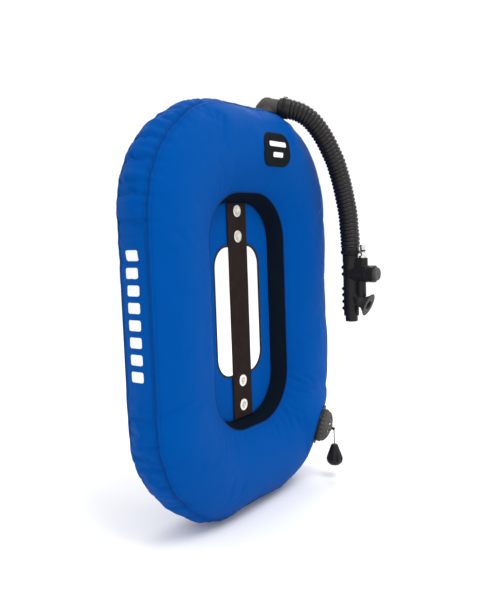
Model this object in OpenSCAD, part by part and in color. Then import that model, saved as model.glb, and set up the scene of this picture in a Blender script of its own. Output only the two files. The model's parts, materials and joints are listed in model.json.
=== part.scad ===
// Single-tank buoyancy wing: an inflated ring of coated fabric with a recessed centre panel, a webbing
// strap with eyelets for the tank bolts, a corrugated hose with an oral and power inflator, and a
// pull-to-dump relief valve. X runs to the right, Y to the back and Z up, in millimetres. The origin is
// the middle of the main pair of tank-bolt holes, in the plane of the centre panel.

/* [Wing shell] */
// Width across the outer seams
wing_w = 470; // [440:1:500]
// Height across the outer seams
wing_h = 640; // [610:1:680]
// Corner radius of the outer seams
wing_r = 176; // [150:1:200]
// Height of the shell's middle above the bolt pattern's middle
wing_z = -18; // [-25:1:-10]
// Depth of the outer side band between its two seams
band_d = 52; // [44:1:60]
// How far the side band swells past its seams
band_swell = 5; // [2:0.5:8]
// How far each face swells past its seams
crown = 29; // [22:0.5:32]
// Thickness of the coated shell fabric
skin = 1.2; // [0.8:0.1:1.6]
// Thickness of the inner bladder film
film = 0.8; // [0.5:0.1:1.2]

/* [Centre opening] */
// Width of the opening at its front and back edges
open_w = 206; // [196:1:216]
// Height of the opening at its front and back edges
open_h = 382; // [376:1:396]
// Corner radius of the opening at its edges
open_r = 80; // [70:1:88]
// Depth of the opening, front edge to back edge
wall_d = 50; // [44:1:60]
// Width of the centre panel at the bottom of the recess
base_w = 177; // [168:1:184]
// Height of the centre panel at the bottom of the recess
base_h = 356; // [352:1:366]
// Corner radius of the centre panel
base_r = 66; // [58:1:74]
// Width of the slot in the centre panel
slot_w = 118; // [96:1:126]
// Height of the slot in the centre panel
slot_h = 209; // [180:1:209]
// Corner radius of the slot
slot_r = 32; // [20:1:44]
// Width of the binding around the slot
bind_w = 4; // [3:0.5:4]
// Thickness of the binding around the slot
bind_t = 3.2; // [2.4:0.2:3.2]

/* [Centre strap] */
// Width of the webbing
strap_w = 51; // [38:1:60]
// Thickness of the webbing
strap_t = 2.5; // [2:0.1:3]
// Distance between the two holes of one tank-bolt pair
bolt_span = 279.4; // [279:0.2:280]
// Distance between the two pairs
bolt_step = 41; // [38:0.5:44]
// Radius of the hole through an eyelet
eyelet_r = 5; // [4:0.1:5.5]
// Radius of an eyelet's front flange
eyelet_flange_r = 10; // [9:0.5:12]

/* [Hose and elbow] */
// Outside diameter of the corrugated hose
hose_d = 34; // [30:1:35]
// Angle of the elbow along the top corner, from straight up
elbow_angle = 13.5; // [8:0.5:18]
// Angle that the elbow's outlet is turned from sideways to forward
elbow_turn = 60; // [50:1:70]
// Angle that the outlet dips towards the side band
elbow_dip = 4; // [2:0.5:6]
// Height of the outlet's axis above the side band
elbow_rise = 17; // [16.5:0.5:19]
// Radius of the spigot that the hose pushes onto
spigot_r = 11; // [10:0.5:12]
// Radius of the air passage through the elbow
passage_r = 8; // [7:0.5:8]

/* [Inflator] */
// Diameter of the inflator's main tube
tube_d = 27; // [25:0.5:29]
// Height of the main tube below its collar
tube_h = 96; // [90:1:104]
// Radius of the inflate button
button_r = 12.3; // [11:0.1:12.5]
// Travel of the inflate button
inflate_travel = 4; // [3:0.5:4]
// Travel of the deflate button
deflate_travel = 4; // [3:0.5:4]
// Radius of the quick-release nipple's plain end
nipple_r = 4.8; // [4.5:0.1:5]
// Length of the nipple's plain end
nipple_plain = 9; // [7:0.5:10]
// Radius of the mouthpiece bore
mouth_r = 8; // [6:0.5:8]

/* [Dump valve] */
// Radius of the valve's cap
cap_r = 29; // [28:0.5:31]
// Height of the cap above the fabric
cap_h = 25; // [23:0.5:28]
// Place around the lower right corner, in degrees below sideways
valve_angle = 39; // [34:1:44]
// Place across the ring, as a share of its width from the outer seam
valve_share = 0.26; // [0.24:0.005:0.3]
// Lean of the valve beyond the slope of the fabric under it
valve_lean = 7; // [5:0.5:9]
// Lift of the valve disc when the knob is pulled
dump_travel = 6; // [4:0.5:6]
// Radius of the pull cord
cord_r = 1.2; // [1:0.1:1.4]
// Height of the pull knob
knob_h = 38; // [34:1:42]

/* [Zip] */
// Length of the zip on the back face
zip_l = 230; // [200:1:250]

/* [Hidden] */
$fn = 48;
eps = 0.02;

// Colours
blue = [0, 0.34, 0.68];
navy = [0.03, 0.06, 0.14];
black = [0.09, 0.08, 0.08];
grey = [0.33, 0.33, 0.33];
steel = [0.75, 0.74, 0.70];
white = [0.95, 0.95, 0.95];
film_grey = [0.6, 0.62, 0.65];

// Shared clearances
fit_gap = 0.3;
pin_gap = 0.05;
film_gap = 3;

// ---------- outlines and lofts ----------

corner_steps = 7;
function lerp(a, b, t) = a + (b - a) * t;
function unit(v) = v / norm(v);

// Closed rounded rectangle in the XZ plane, as [x, z] points
function outline(w, h, r, zc) = [
    for (k = [0:3]) for (i = [0:corner_steps])
        let (a = 90 * (k + i / corner_steps),
             cx = (k == 0 || k == 3 ? 1 : -1) * (w / 2 - r),
             cz = (k < 2 ? 1 : -1) * (h / 2 - r))
        [cx + r * cos(a), zc + cz + r * sin(a)]
];

open_z = wing_z - 4.5;
base_z = wing_z - 7;
ring_n = 4 * (corner_steps + 1);

// Outline at share s across the ring, from the outer seam (0) to the opening's edge (1)
function across(s) = outline(lerp(wing_w, open_w, s), lerp(wing_h, open_h, s),
                             lerp(wing_r, open_r, s), lerp(wing_z, open_z, s));

// Depth of the face's outer surface in front of the middle plane at share s
seam_y = band_d / 2 + skin;
edge_y = wall_d / 2 + skin;
outer_power = 0.8;
inner_power = 1;
function face_depth(s) = lerp(seam_y, edge_y, s)
    + crown * pow(max(0, sin(180 * s)), s < 0.5 ? outer_power : inner_power);

// Signed distance inside a rounded rectangle
function inside(x, z, w, h, r, zc) =
    let (qx = abs(x) - w / 2 + r, qz = abs(z - zc) - h / 2 + r)
    r - norm([max(qx, 0), max(qz, 0)]) - min(max(qx, qz), 0);

// Share across the ring at a point of the face
function share(x, z) =
    let (o = inside(x, z, wing_w, wing_h, wing_r, wing_z),
         i = -inside(x, z, open_w, open_h, open_r, open_z))
    max(0, min(1, o / (o + i)));

function ring_at(pts, y) = [for (p = pts) [p[0], y, p[1]]];

// Solid between rings of equal point counts, closed both ways round
module closed_loft(rings) {
    m = len(rings);
    n = len(rings[0]);
    faces = [
        for (i = [0:m - 1]) for (j = [0:n - 1])
            let (i2 = (i + 1) % m, j2 = (j + 1) % n)
            each [[i * n + j, i2 * n + j, i2 * n + j2], [i * n + j, i2 * n + j2, i * n + j2]]
    ];
    polyhedron([for (r = rings) each r], faces, convexity = 8);
}

// Solid through rings of equal point counts, with flat ends
module capped_loft(rings) {
    m = len(rings);
    n = len(rings[0]);
    sides = [
        for (i = [0:m - 2]) for (j = [0:n - 1])
            let (j2 = (j + 1) % n)
            each [[i * n + j, (i + 1) * n + j, (i + 1) * n + j2], [i * n + j, (i + 1) * n + j2, i * n + j2]]
    ];
    first = [for (j = [0:n - 1]) j];
    last = [for (j = [n - 1:-1:0]) (m - 1) * n + j];
    polyhedron([for (r = rings) each r], concat(sides, [first, last]), convexity = 6);
}

// Round tube of radius r swept along points, with n sides
function tangent(p, i) = unit(p[min(i + 1, len(p) - 1)] - p[max(i - 1, 0)]);
function circle_at(c, t, side, r, n) =
    let (u = unit(side - t * (side * t)), v = cross(t, u))
    [for (j = [0:n - 1]) c + r * (cos(360 * j / n) * u + sin(360 * j / n) * v)];
module swept(points, r, n, side, first, last) {
    capped_loft([
        for (i = [0:len(points) - 1])
            let (t = i == 0 ? first : i == len(points) - 1 ? last : tangent(points, i))
            circle_at(points[i], t, side, r, n)
    ]);
}

// Coil spring along +Z from 0, with closed ends
spring_steps = 10;
module coil(r, wire, h, turns) {
    count = round(turns * spring_steps);
    run = h - 2 * wire;
    capped_loft([
        for (i = [0:count])
            let (a = 360 * i / spring_steps,
                 c = [r * cos(a), r * sin(a), wire + run * i / count],
                 t = unit([-sin(a), cos(a), run / (2 * PI * r * turns)]))
            circle_at(c, t, [0, 0, 1], wire, 6)
    ]);
}

// Places children with their +Z along dir from point p
module along(p, dir) {
    d = unit(dir);
    translate(p) rotate([0, acos(d[2]), atan2(d[1], d[0])]) children();
}

// Flat ring or tube along +Z
module tube(r_in, r_out, h, z = 0) {
    translate([0, 0, z]) difference() {
        cylinder(r = r_out, h = h);
        translate([0, 0, -eps]) cylinder(r = r_in, h = h + 2 * eps);
    }
}

// Rounded rectangle in 2D, drawn with true arcs
module round_rect(w, h, r) {
    square([w - 2 * r, h], center = true);
    square([w, h - 2 * r], center = true);
    for (x = [-1, 1], y = [-1, 1]) translate([x * (w / 2 - r), y * (h / 2 - r)]) circle(r = r, $fn = 64);
}

// Extrudes a 2D shape drawn in XZ from y0 back to y1, with its middle at height zc
module slab(y0, y1, zc) {
    translate([0, y1, zc]) rotate([90, 0, 0]) linear_extrude(y1 - y0) children();
}

// ---------- wing shell ----------

face_shares = [0, 0.03, 0.08, 0.16, 0.28, 0.42, 0.58, 0.72, 0.84, 0.92, 0.97, 1];

// One face of the ring: side is -1 for the front and 1 for the back
module face_skin(side, inset, t, shares) {
    outer = [for (s = shares) ring_at(across(s), side * (face_depth(s) - inset))];
    inner = [for (k = [len(shares) - 1:-1:0])
        ring_at(across(shares[k]), side * (face_depth(shares[k]) - inset - t))];
    rings = concat(outer, inner);
    closed_loft(side > 0 ? [for (k = [len(rings) - 1:-1:0]) rings[k]] : rings);
}

// Places that the elbow and the valve pass through
corner_x = wing_w / 2 - wing_r;
corner_z = wing_h / 2 - wing_r;
elbow_n = [sin(elbow_angle), 0, cos(elbow_angle)];
elbow_foot = [corner_x, 0, wing_z + corner_z] + (wing_r + band_swell) * elbow_n;
elbow_side = [cos(elbow_angle), 0, -sin(elbow_angle)];
elbow_flat = cos(elbow_turn) * elbow_side + sin(elbow_turn) * [0, -1, 0];
elbow_d = cos(elbow_dip) * elbow_flat - sin(elbow_dip) * elbow_n;
elbow_mid = elbow_foot + elbow_rise * elbow_n;

valve_out = [corner_x, 0, wing_z - corner_z] + wing_r * [cos(valve_angle), 0, -sin(valve_angle)];
valve_in = [open_w / 2 - open_r, 0, open_z - open_h / 2 + open_r]
         + open_r * [cos(valve_angle), 0, -sin(valve_angle)];
valve_way = unit(valve_out - valve_in);
valve_rise = crown * outer_power * pow(sin(180 * valve_share), outer_power - 1) * cos(180 * valve_share) * PI
           + edge_y - seam_y;
valve_tilt = atan(valve_rise / norm(valve_out - valve_in)) + valve_lean;
valve_foot = lerp(valve_out, valve_in, valve_share) + [0, -face_depth(valve_share), 0];
valve_n = sin(valve_tilt) * valve_way + cos(valve_tilt) * [0, -1, 0];
valve_neck_r = cap_r - 5;
valve_seat_r = valve_neck_r - 4;
valve_flange_r = cap_r + 7;
valve_inner_r = cap_r - 1;

module front_panel() color(blue) difference() {
    face_skin(-1, 0, skin, face_shares);
    along(valve_foot - 30 * valve_n, valve_n) cylinder(r = valve_neck_r + fit_gap, h = 50);
}

module rear_panel() color(blue) face_skin(1, 0, skin, face_shares);

band_levels = [-1, -0.6, -0.2, 0.2, 0.6, 1];
function band_out(k) = band_swell * (1 - k * k);
function band_ring(o, y) = ring_at(outline(wing_w + 2 * o, wing_h + 2 * o, wing_r + o, wing_z), y);

module outer_band() color(blue) difference() {
    closed_loft(concat(
        [for (k = band_levels) band_ring(band_out(k) - skin, k * band_d / 2)],
        [for (i = [len(band_levels) - 1:-1:0])
            band_ring(band_out(band_levels[i]), band_levels[i] * band_d / 2)]
    ));
    along(elbow_foot - 20 * elbow_n, elbow_n) cylinder(r = elbow_neck_r + fit_gap, h = 40);
}

panel_t = 1.5;

// Ring of the recess's wall at share t from the centre panel (0) to the opening's edge (1)
function wall_ring(side, t, grow) =
    ring_at(outline(lerp(base_w, open_w, t) + 2 * grow, lerp(base_h, open_h, t) + 2 * grow,
                    lerp(base_r, open_r, t) + grow, lerp(base_z, open_z, t)),
            side * lerp(panel_t, wall_d, t) / 2);
module wall_half(side) {
    rings = [wall_ring(side, 0, 0), wall_ring(side, 1, 0), wall_ring(side, 1, skin), wall_ring(side, 0, skin)];
    closed_loft(side > 0 ? rings : [for (k = [3:-1:0]) rings[k]]);
}
module inner_wall_front() color(navy) wall_half(-1);
module inner_wall_rear() color(navy) wall_half(1);

bolt_z = [bolt_span / 2, bolt_span / 2 - bolt_step, -bolt_span / 2, -bolt_span / 2 - bolt_step];
washer_r = 8;
// The slot's lower binding stops just above the third eyelet's washer
slot_low = -bolt_span / 2 + washer_r + 0.4 + bind_w;
slot_z = slot_low + slot_h / 2;
barrel_r = eyelet_r + 1;

module center_panel() color(blue) difference() {
    slab(-panel_t / 2, panel_t / 2, base_z) round_rect(base_w + 2 * skin, base_h + 2 * skin, base_r + skin);
    slab(-10, 10, slot_z) round_rect(slot_w + 2 * bind_w, slot_h + 2 * bind_w, slot_r + bind_w);
    for (z = bolt_z) translate([0, 10, z]) rotate([90, 0, 0]) cylinder(r = barrel_r + pin_gap, h = 20);
}

module slot_binding() color(black) slab(-bind_t / 2, bind_t / 2, slot_z) difference() {
    round_rect(slot_w + 2 * bind_w, slot_h + 2 * bind_w, slot_r + bind_w);
    round_rect(slot_w, slot_h, slot_r);
}

// ---------- bladder ----------

film_shares = [0.03, 0.08, 0.2, 0.4, 0.6, 0.8, 0.92, 0.97];
weld_y = 0.05;

// Half of the bladder: a film from its outer weld, over the face and down to its inner weld
module bladder_half(side) {
    n = len(film_shares);
    first = film_shares[0];
    last = film_shares[n - 1];
    lip = 0.008;
    outer = concat(
        [ring_at(across(first), side * weld_y)],
        [for (s = film_shares) ring_at(across(s), side * (face_depth(s) - film_gap - skin))],
        [ring_at(across(last), side * weld_y)]);
    inner = concat(
        [ring_at(across(last - lip), side * weld_y)],
        [for (k = [n - 1:-1:0])
            let (s = lerp(film_shares[k], 0.5, 0.016))
            ring_at(across(s), side * (face_depth(s) - film_gap - skin - film))],
        [ring_at(across(first + lip), side * weld_y)]);
    rings = concat(outer, inner);
    closed_loft(side > 0 ? [for (k = [len(rings) - 1:-1:0]) rings[k]] : rings);
}

module port_cuts() {
    along(valve_foot - 40 * valve_n, valve_n) cylinder(r = valve_inner_r + 3, h = 60);
    along(elbow_foot - 40 * elbow_n, elbow_n) cylinder(r = flange_r + 1, h = 60);
}

module bladder_front() color(film_grey) difference() {
    bladder_half(-1);
    port_cuts();
}
module bladder_rear() color(film_grey) difference() {
    bladder_half(1);
    port_cuts();
}

// ---------- strap, eyelets and marks ----------

strap_back = -bind_t / 2 - 0.1;
strap_gap = 0.8;
strap_front = strap_back - strap_t;
eyelet_t = 1;

module center_strap() color(black) difference() {
    slab(strap_front, strap_back, base_z) intersection() {
        square([strap_w, base_h], center = true);
        round_rect(base_w - 2 * strap_gap, base_h - 2 * strap_gap, base_r - strap_gap);
    }
    for (z = bolt_z) translate([0, 10, z]) rotate([90, 0, 0]) cylinder(r = barrel_r + pin_gap, h = 20);
}

module strap_eyelets() color(steel) for (z = bolt_z) translate([0, 0, z]) rotate([90, 0, 0]) {
    tube(eyelet_r, barrel_r, panel_t / 2 + eyelet_t - strap_front + eyelet_t, -panel_t / 2 - eyelet_t);
    tube(barrel_r - eps, eyelet_flange_r, eyelet_t, -strap_front);
}

module eyelet_washers() color(steel) for (z = bolt_z) translate([0, 0, z]) rotate([90, 0, 0])
    tube(barrel_r + pin_gap, washer_r, eyelet_t, -panel_t / 2 - eyelet_t);

// Sheet that follows the front face over a rectangle, from gap to gap + t above it
module on_face(x0, x1, z0, z1, gap, t) {
    nx = 8;
    nz = 6;
    xs = [for (i = [0:nx]) lerp(x0, x1, i / nx)];
    zs = [for (i = [0:nz]) lerp(z0, z1, i / nz)];
    capped_loft([
        for (x = xs) concat(
            [for (z = zs) [x, -face_depth(share(x, z)) - gap - t, z]],
            [for (k = [nz:-1:0]) [x, -face_depth(share(x, zs[k])) - gap, zs[k]]])
    ]);
}

patch_x = 47;
patch_z = wing_z + wing_h / 2 - 66;
patch_w = 76;
patch_h = 54;
patch_t = 1.2;
mark_gap = 0.7;
module patch() color(black)
    on_face(patch_x - patch_w / 2, patch_x + patch_w / 2, patch_z - patch_h / 2, patch_z + patch_h / 2,
            mark_gap, patch_t);
module patch_marks() color(white) {
    on_face(patch_x - 24, patch_x + 24, patch_z + 4, patch_z + 13, mark_gap + patch_t, 0.4);
    on_face(patch_x - 14, patch_x + 14, patch_z - 13, patch_z - 4, mark_gap + patch_t, 0.4);
}

// Plain reflective bars along the left side band
marks_n = 8;
mark_pitch = 24;
mark_l = 15;
mark_half = 11;
marks_mid = -4;
module side_marks() color(white) for (i = [0:marks_n - 1])
    translate([0, 0, marks_mid + (i - (marks_n - 1) / 2) * mark_pitch - mark_l / 2])
    linear_extrude(mark_l) polygon(concat(
        [for (k = [-1:0.25:1]) let (y = k * mark_half)
            [-wing_w / 2 - band_out(2 * y / band_d) - 0.9, y]],
        [for (k = [1:-0.25:-1]) let (y = k * mark_half)
            [-wing_w / 2 - band_out(2 * y / band_d) - 0.4, y]]));

// ---------- zip on the back face ----------

zip_x = -(wing_w + open_w) / 4;
zip_y = face_depth(0.5) + 0.2;
zip_z = wing_z;
tape_w = 11;
tape_t = 1;
teeth_w = 6;
teeth_t = 2.2;

module zip_tapes() color(black) for (s = [-1, 1])
    translate([zip_x + s * (teeth_w / 2 + tape_w / 2 + pin_gap), zip_y + tape_t / 2, zip_z])
    cube([tape_w, tape_t, zip_l], center = true);

tooth_pitch = 5;
module zip_teeth() color(black) translate([zip_x, zip_y, zip_z]) {
    translate([-teeth_w / 4, 0, -zip_l / 2]) cube([teeth_w / 2, teeth_t, zip_l]);
    for (k = [0:floor(zip_l / tooth_pitch) - 1])
        translate([-teeth_w / 2, 0.4, -zip_l / 2 + (k + 0.25) * tooth_pitch])
        cube([teeth_w, teeth_t - 0.6, tooth_pitch / 2]);
}

slider_w = 10;
slider_h = 15;
slider_z = zip_z - zip_l / 2 + slider_h / 2 + 2;
slider_top = zip_y + teeth_t + fit_gap;
slider_t = 1.6;
pull_pin_r = 0.9;
pull_pin_y = slider_top + slider_t + 2.5;
module zip_slider() color(steel) {
    translate([zip_x - slider_w / 2, slider_top, slider_z - slider_h / 2])
        cube([slider_w, slider_t, slider_h]);
    for (s = [-1, 1]) translate([zip_x + s * (slider_w / 2 - 0.7) - 0.7, zip_y + tape_t + fit_gap,
                                 slider_z - slider_h / 2])
        cube([1.4, slider_top - zip_y - tape_t, slider_h]);
    for (s = [-1, 1]) translate([zip_x + s * 3.6 - 0.6, slider_top + slider_t - 0.2, slider_z - 2])
        cube([1.2, 4, 4]);
    translate([zip_x - 3.8, pull_pin_y, slider_z]) rotate([0, 90, 0]) cylinder(r = pull_pin_r, h = 7.6);
}

pull_l = 26;
module zip_pull() color(black) difference() {
    union() {
        translate([zip_x - 2.5, pull_pin_y, slider_z]) rotate([0, 90, 0]) cylinder(r = 2.1, h = 5);
        translate([zip_x - 2.5, pull_pin_y - 0.8, slider_z - 8]) cube([5, 1.6, 7.5]);
        translate([zip_x - 4, pull_pin_y - 0.8, slider_z - pull_l]) cube([8, 1.6, pull_l - 8]);
    }
    translate([zip_x - 5, pull_pin_y, slider_z]) rotate([0, 90, 0])
        cylinder(r = pull_pin_r + pin_gap, h = 10);
}

// ---------- elbow ----------

elbow_neck_r = 12;
dome_r = 15.4;
flange_r = 19;
cuff_start = 19;
cuff_l = 20;
mouth_at = cuff_start + cuff_l + 1;
hose_mouth = elbow_mid + mouth_at * elbow_d;
collar_low = 1.2;
ring_r = 18;
ring_top = 3.8;

module elbow_flange() color(black) along(elbow_foot, elbow_n) {
    tube(passage_r, flange_r, 1.5, -7);
    tube(passage_r, elbow_neck_r, 7 + ring_top, -7);
}
module elbow_gasket() color(black) along(elbow_foot, elbow_n)
    tube(elbow_neck_r + pin_gap, 16.5, 1.3, collar_low - 1.3);
module elbow_ring() color(black) along(elbow_foot, elbow_n) difference() {
    tube(elbow_neck_r + pin_gap, ring_r, ring_top - collar_low, collar_low);
    for (a = [0:30:330]) rotate([0, 0, a]) translate([ring_r + 0.6, 0, collar_low - 1])
        cylinder(r = 1.6, h = 10, $fn = 16);
}
module elbow_body() color(grey) difference() {
    union() {
        along(elbow_foot, elbow_n) translate([0, 0, ring_top])
            cylinder(r = dome_r - 0.8, h = elbow_rise - ring_top);
        hull() {
            along(elbow_mid, elbow_n) sphere(r = dome_r, $fn = 32);
            translate(elbow_mid - 11 * elbow_flat - 4 * elbow_n) sphere(r = 9, $fn = 32);
        }
        along(elbow_mid, elbow_d) cylinder(r = dome_r - 1.2, h = cuff_start - 0.5);
        along(elbow_mid, elbow_d) cylinder(r = spigot_r, h = mouth_at - 0.5);
    }
    along(elbow_foot, elbow_n) translate([0, 0, -20]) cylinder(r = ring_r + 0.6, h = 20 + ring_top);
    along(elbow_foot, elbow_n) cylinder(r = passage_r, h = elbow_rise + 6);
    along(elbow_mid - 6 * elbow_d, elbow_d) cylinder(r = passage_r + 0.2, h = mouth_at + 7);
}

// ---------- hose ----------

// Offsets of the hose's centre line from the elbow's outlet
hose_steps = [
    [0, 0, 0], [8, -14, -6], [17, -26, -16], [25, -35, -29], [32, -42, -43], [38, -48, -58],
    [44, -53, -74], [49, -58, -90], [54, -61, -107], [58, -64, -124], [62, -66, -141],
    [65, -68, -158], [67, -70, -174], [69, -71, -190], [71, -71, -207], [72, -72, -224],
    [72, -72, -241]
];
hose_r = hose_d / 2;
hose_route = [for (p = hose_steps) hose_mouth + p];
hose_end = hose_route[len(hose_route) - 1];
cuff_wall_r = hose_r - 1.5;
boot_r = hose_r + 0.5;
tie_w = 5;
tie_t = 1.4;

module hose() color(black)
    swept(hose_route, hose_r, 12, [0.8, 0.6, 0], elbow_d, [0, 0, -1]);

module tie(r, head_angle) {
    tube(r, r + tie_t, tie_w);
    rotate([0, 0, head_angle]) translate([r + 0.2, -4, -1]) cube([5, 8, tie_w + 2]);
}

module hose_upper_cuff() color(black) along(elbow_mid, elbow_d)
    tube(spigot_r + pin_gap, boot_r, cuff_l, cuff_start);
module upper_tie() color(black) along(elbow_mid, elbow_d) translate([0, 0, cuff_start + 7])
    tie(boot_r + pin_gap, 150);

lower_cuff_l = 12;
module hose_lower_cuff() color(black) translate(hose_end - [0, 0, lower_cuff_l])
    tube(spigot_r - 1 + pin_gap, cuff_wall_r, lower_cuff_l - fit_gap);
module lower_tie() color(black) translate(hose_end - [0, 0, lower_cuff_l - 2])
    tie(cuff_wall_r + pin_gap, 215);

// ---------- inflator ----------

// Heights are measured down from the hose's lower end, and v is the distance in front of the tube's axis
tube_r = tube_d / 2;
bore_r = tube_r - 3.5;
collar_top = -lower_cuff_l - fit_gap;
tube_top = -25;
tube_low = tube_top - tube_h;
valve_h = tube_top - 21;
nipple_v = 24;
housing_v = 35;
housing_r = 14.8;
chamber_r = 9;
chamber_v = 18;
seat_h = tube_low + 17;
seat_t = 3;
cap_bore = 9.5;
lower_r = tube_r - 2.5;

module at_tube(v, h) translate(hose_end + [0, -v, h]) children();
module forward(v, h) at_tube(v, h) rotate([90, 0, 0]) children();

// Mouthpiece: the middle of its flange and the way it faces
mouth_tilt = 24;
mouth_n = [0, -cos(mouth_tilt), -sin(mouth_tilt)];
mouth_v = 34;
mouth_h = tube_low + 20;
mouth_mid = hose_end + [0, -mouth_v, mouth_h];
mouth_back = 19;
socket_r = 11;
boss_back = 33;

tooth_drops = [9.5, 21.5, 47.5, 58.5, 70.5, 82.5];

module inflator_body() color(black) difference() {
    union() {
        at_tube(0, tube_low) cylinder(r = tube_r, h = tube_h);
        at_tube(0, tube_top) cylinder(r = tube_r + 0.5, h = collar_top - tube_top);
        at_tube(0, tube_top) cylinder(r = spigot_r - 1, h = -tube_top - 1);
        forward(0, valve_h) cylinder(r = housing_r, h = housing_v);
        at_tube(nipple_v, valve_h) cylinder(r = 8.5, h = 28);
        at_tube(0, valve_h) translate([-8.5, -nipple_v, 0]) cube([17, nipple_v, 28]);
        at_tube(nipple_v - 4, mouth_h + 12) cylinder(r = 8.5, h = valve_h - mouth_h - 12);
        along(mouth_mid - boss_back * mouth_n, mouth_n) cylinder(r = socket_r, h = boss_back - mouth_back + 2);
        at_tube(0, mouth_h + 6) translate([-5, -nipple_v + 8, 0]) cube([10, nipple_v - 8, 40]);
        for (d = tooth_drops) at_tube(-tube_r + 0.6, tube_top - d) translate([-6, 0, 0])
            rotate([0, 90, 0]) cylinder(r = 3, h = 12, $fn = 24);
    }
    at_tube(0, seat_h + seat_t) cylinder(r = bore_r, h = tube_top - 4 - seat_h - seat_t);
    at_tube(0, tube_top - 5) cylinder(r = spigot_r - 3.5, h = 40);
    at_tube(0, seat_h - 1) cylinder(r = 5, h = seat_t + 2);
    at_tube(0, tube_low - 1) cylinder(r = lower_r + fit_gap, h = cap_bore + 1);
    at_tube(0, tube_low) cylinder(r = 8.5, h = seat_h - tube_low);
    forward(chamber_v, valve_h) cylinder(r = chamber_r, h = housing_v);
    forward(5, valve_h) cylinder(r = 3.2, h = housing_v);
    at_tube(nipple_v, valve_h) cylinder(r = 2.5, h = 40);
    at_tube(nipple_v, valve_h + 20) cylinder(r = 5.6 + pin_gap, h = 10);
    along(mouth_mid - (boss_back - 1) * mouth_n, mouth_n) cylinder(r = mouth_r + 0.5, h = boss_back + 10);
    along(mouth_mid - mouth_back * mouth_n, mouth_n) cylinder(r = socket_r + fit_gap, h = 60);
}

flange_long = 42;
flange_wide = 34;
lip_t = 3;
module mouthpiece() color(grey) along(mouth_mid, mouth_n) difference() {
    union() {
        hull() {
            translate([0, 0, -mouth_back + 8]) cylinder(r = socket_r, h = 0.5, $fn = 32);
            translate([0, 0, -lip_t]) scale([flange_long / 2 - 3, flange_wide / 2 - 3, 1])
                cylinder(r = 1, h = 0.5, $fn = 32);
        }
        hull() {
            translate([0, 0, -lip_t]) scale([flange_long / 2 - 2, flange_wide / 2 - 2, 1])
                cylinder(r = 1, h = 0.5, $fn = 32);
            translate([0, 0, -1]) scale([flange_long / 2, flange_wide / 2, 1])
                cylinder(r = 1, h = 1, $fn = 32);
        }
        translate([0, 0, -mouth_back]) cylinder(r = socket_r, h = 10);
    }
    translate([0, 0, -mouth_back - 1]) cylinder(r = mouth_r, h = mouth_back + 2);
}

nipple_base = valve_h + 20;
module nipple() color(steel) at_tube(nipple_v, nipple_base) difference() {
    union() {
        cylinder(r = 5.6, h = 8);
        translate([0, 0, 8]) cylinder(r = 6.8, h = 4, $fn = 6);
        translate([0, 0, 12]) cylinder(r = 3.7, h = 4);
        translate([0, 0, 16]) cylinder(r = 5.2, h = 3);
        translate([0, 0, 19]) cylinder(r = 3.7, h = 3);
        translate([0, 0, 22]) cylinder(r = nipple_r, h = nipple_plain);
    }
    translate([0, 0, -1]) cylinder(r = 2, h = 40);
}
module nipple_oring() color(black) at_tube(nipple_v, nipple_base + 20.5)
    rotate_extrude() translate([3.75 + 0.75, 0]) circle(r = 0.75, $fn = 16);

bezel_l = 12;
bezel_lip = 2;
button_step = 1;
module inflate_bezel() color(black) forward(housing_v, valve_h) difference() {
    cylinder(r = button_r + fit_gap + 2.2, h = bezel_l);
    translate([0, 0, -1]) cylinder(r = button_r + fit_gap, h = bezel_l - bezel_lip + 1);
    cylinder(r = button_r - button_step + fit_gap, h = bezel_l + 1);
    for (a = [0:20:340]) rotate([0, 0, a]) translate([button_r + fit_gap + 2.7, 0, 2])
        cylinder(r = 0.9, h = bezel_l, $fn = 16);
}

button_v = housing_v + inflate_travel + 0.5;
button_l = 13.5;
module inflate_button() color(grey) forward(button_v, valve_h) difference() {
    union() {
        cylinder(r = button_r, h = housing_v + bezel_l - bezel_lip - button_v - 0.2);
        cylinder(r = button_r - button_step, h = button_l - 1);
        translate([0, 0, button_l - 1]) cylinder(r1 = button_r - button_step, r2 = button_r - 2, h = 1);
    }
    translate([0, 0, button_l - 0.6]) cylinder(r = 8.5, h = 2);
}
stem_v = 5.5;
module inflate_stem() color(steel) forward(stem_v + 2, valve_h) cylinder(r = 1.6, h = button_v - stem_v - 2);
module inflate_seal() color(black) forward(stem_v, valve_h) cylinder(r = 5, h = 2);
module inflate_spring() color(steel) forward(chamber_v, valve_h)
    coil(6, 0.7, button_v - chamber_v, 5);

lower_button_l = 15;
lower_button_h = tube_low + cap_bore - deflate_travel - 0.5 - lower_button_l;
module deflate_button() color(black) at_tube(0, lower_button_h) {
    cylinder(r1 = lower_r - 1, r2 = lower_r, h = 1);
    translate([0, 0, 1]) cylinder(r = lower_r, h = lower_button_l - 1);
}
lower_stem_h = lower_button_h + lower_button_l;
module deflate_stem() color(steel) at_tube(0, lower_stem_h)
    cylinder(r = 1.8, h = seat_h + seat_t - lower_stem_h);
module deflate_seal() color(black) at_tube(0, seat_h + seat_t) cylinder(r = 7.5, h = 2);
module deflate_spring() color(steel) at_tube(0, lower_stem_h) coil(5.5, 0.7, seat_h - lower_stem_h, 4);

// ---------- dump valve ----------

flange_top = 4.4;
cap_low = flange_top + 0.1;
cap_wall = 2.6;
cap_side = 8;
module valve_frame() along(valve_foot, valve_n) children();

module valve_base() color(black) valve_frame() {
    tube(valve_seat_r, valve_inner_r, 1.6, -13);
    tube(valve_seat_r, valve_neck_r, 13 + flange_top, -13);
    tube(valve_neck_r - eps, valve_flange_r, 2.2, flange_top - 2.2);
}
module valve_gasket() color(black) valve_frame() tube(valve_neck_r + pin_gap, valve_flange_r - 4, 1.2, 0.9);

rib_n = 24;
slot_n = 10;
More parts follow.
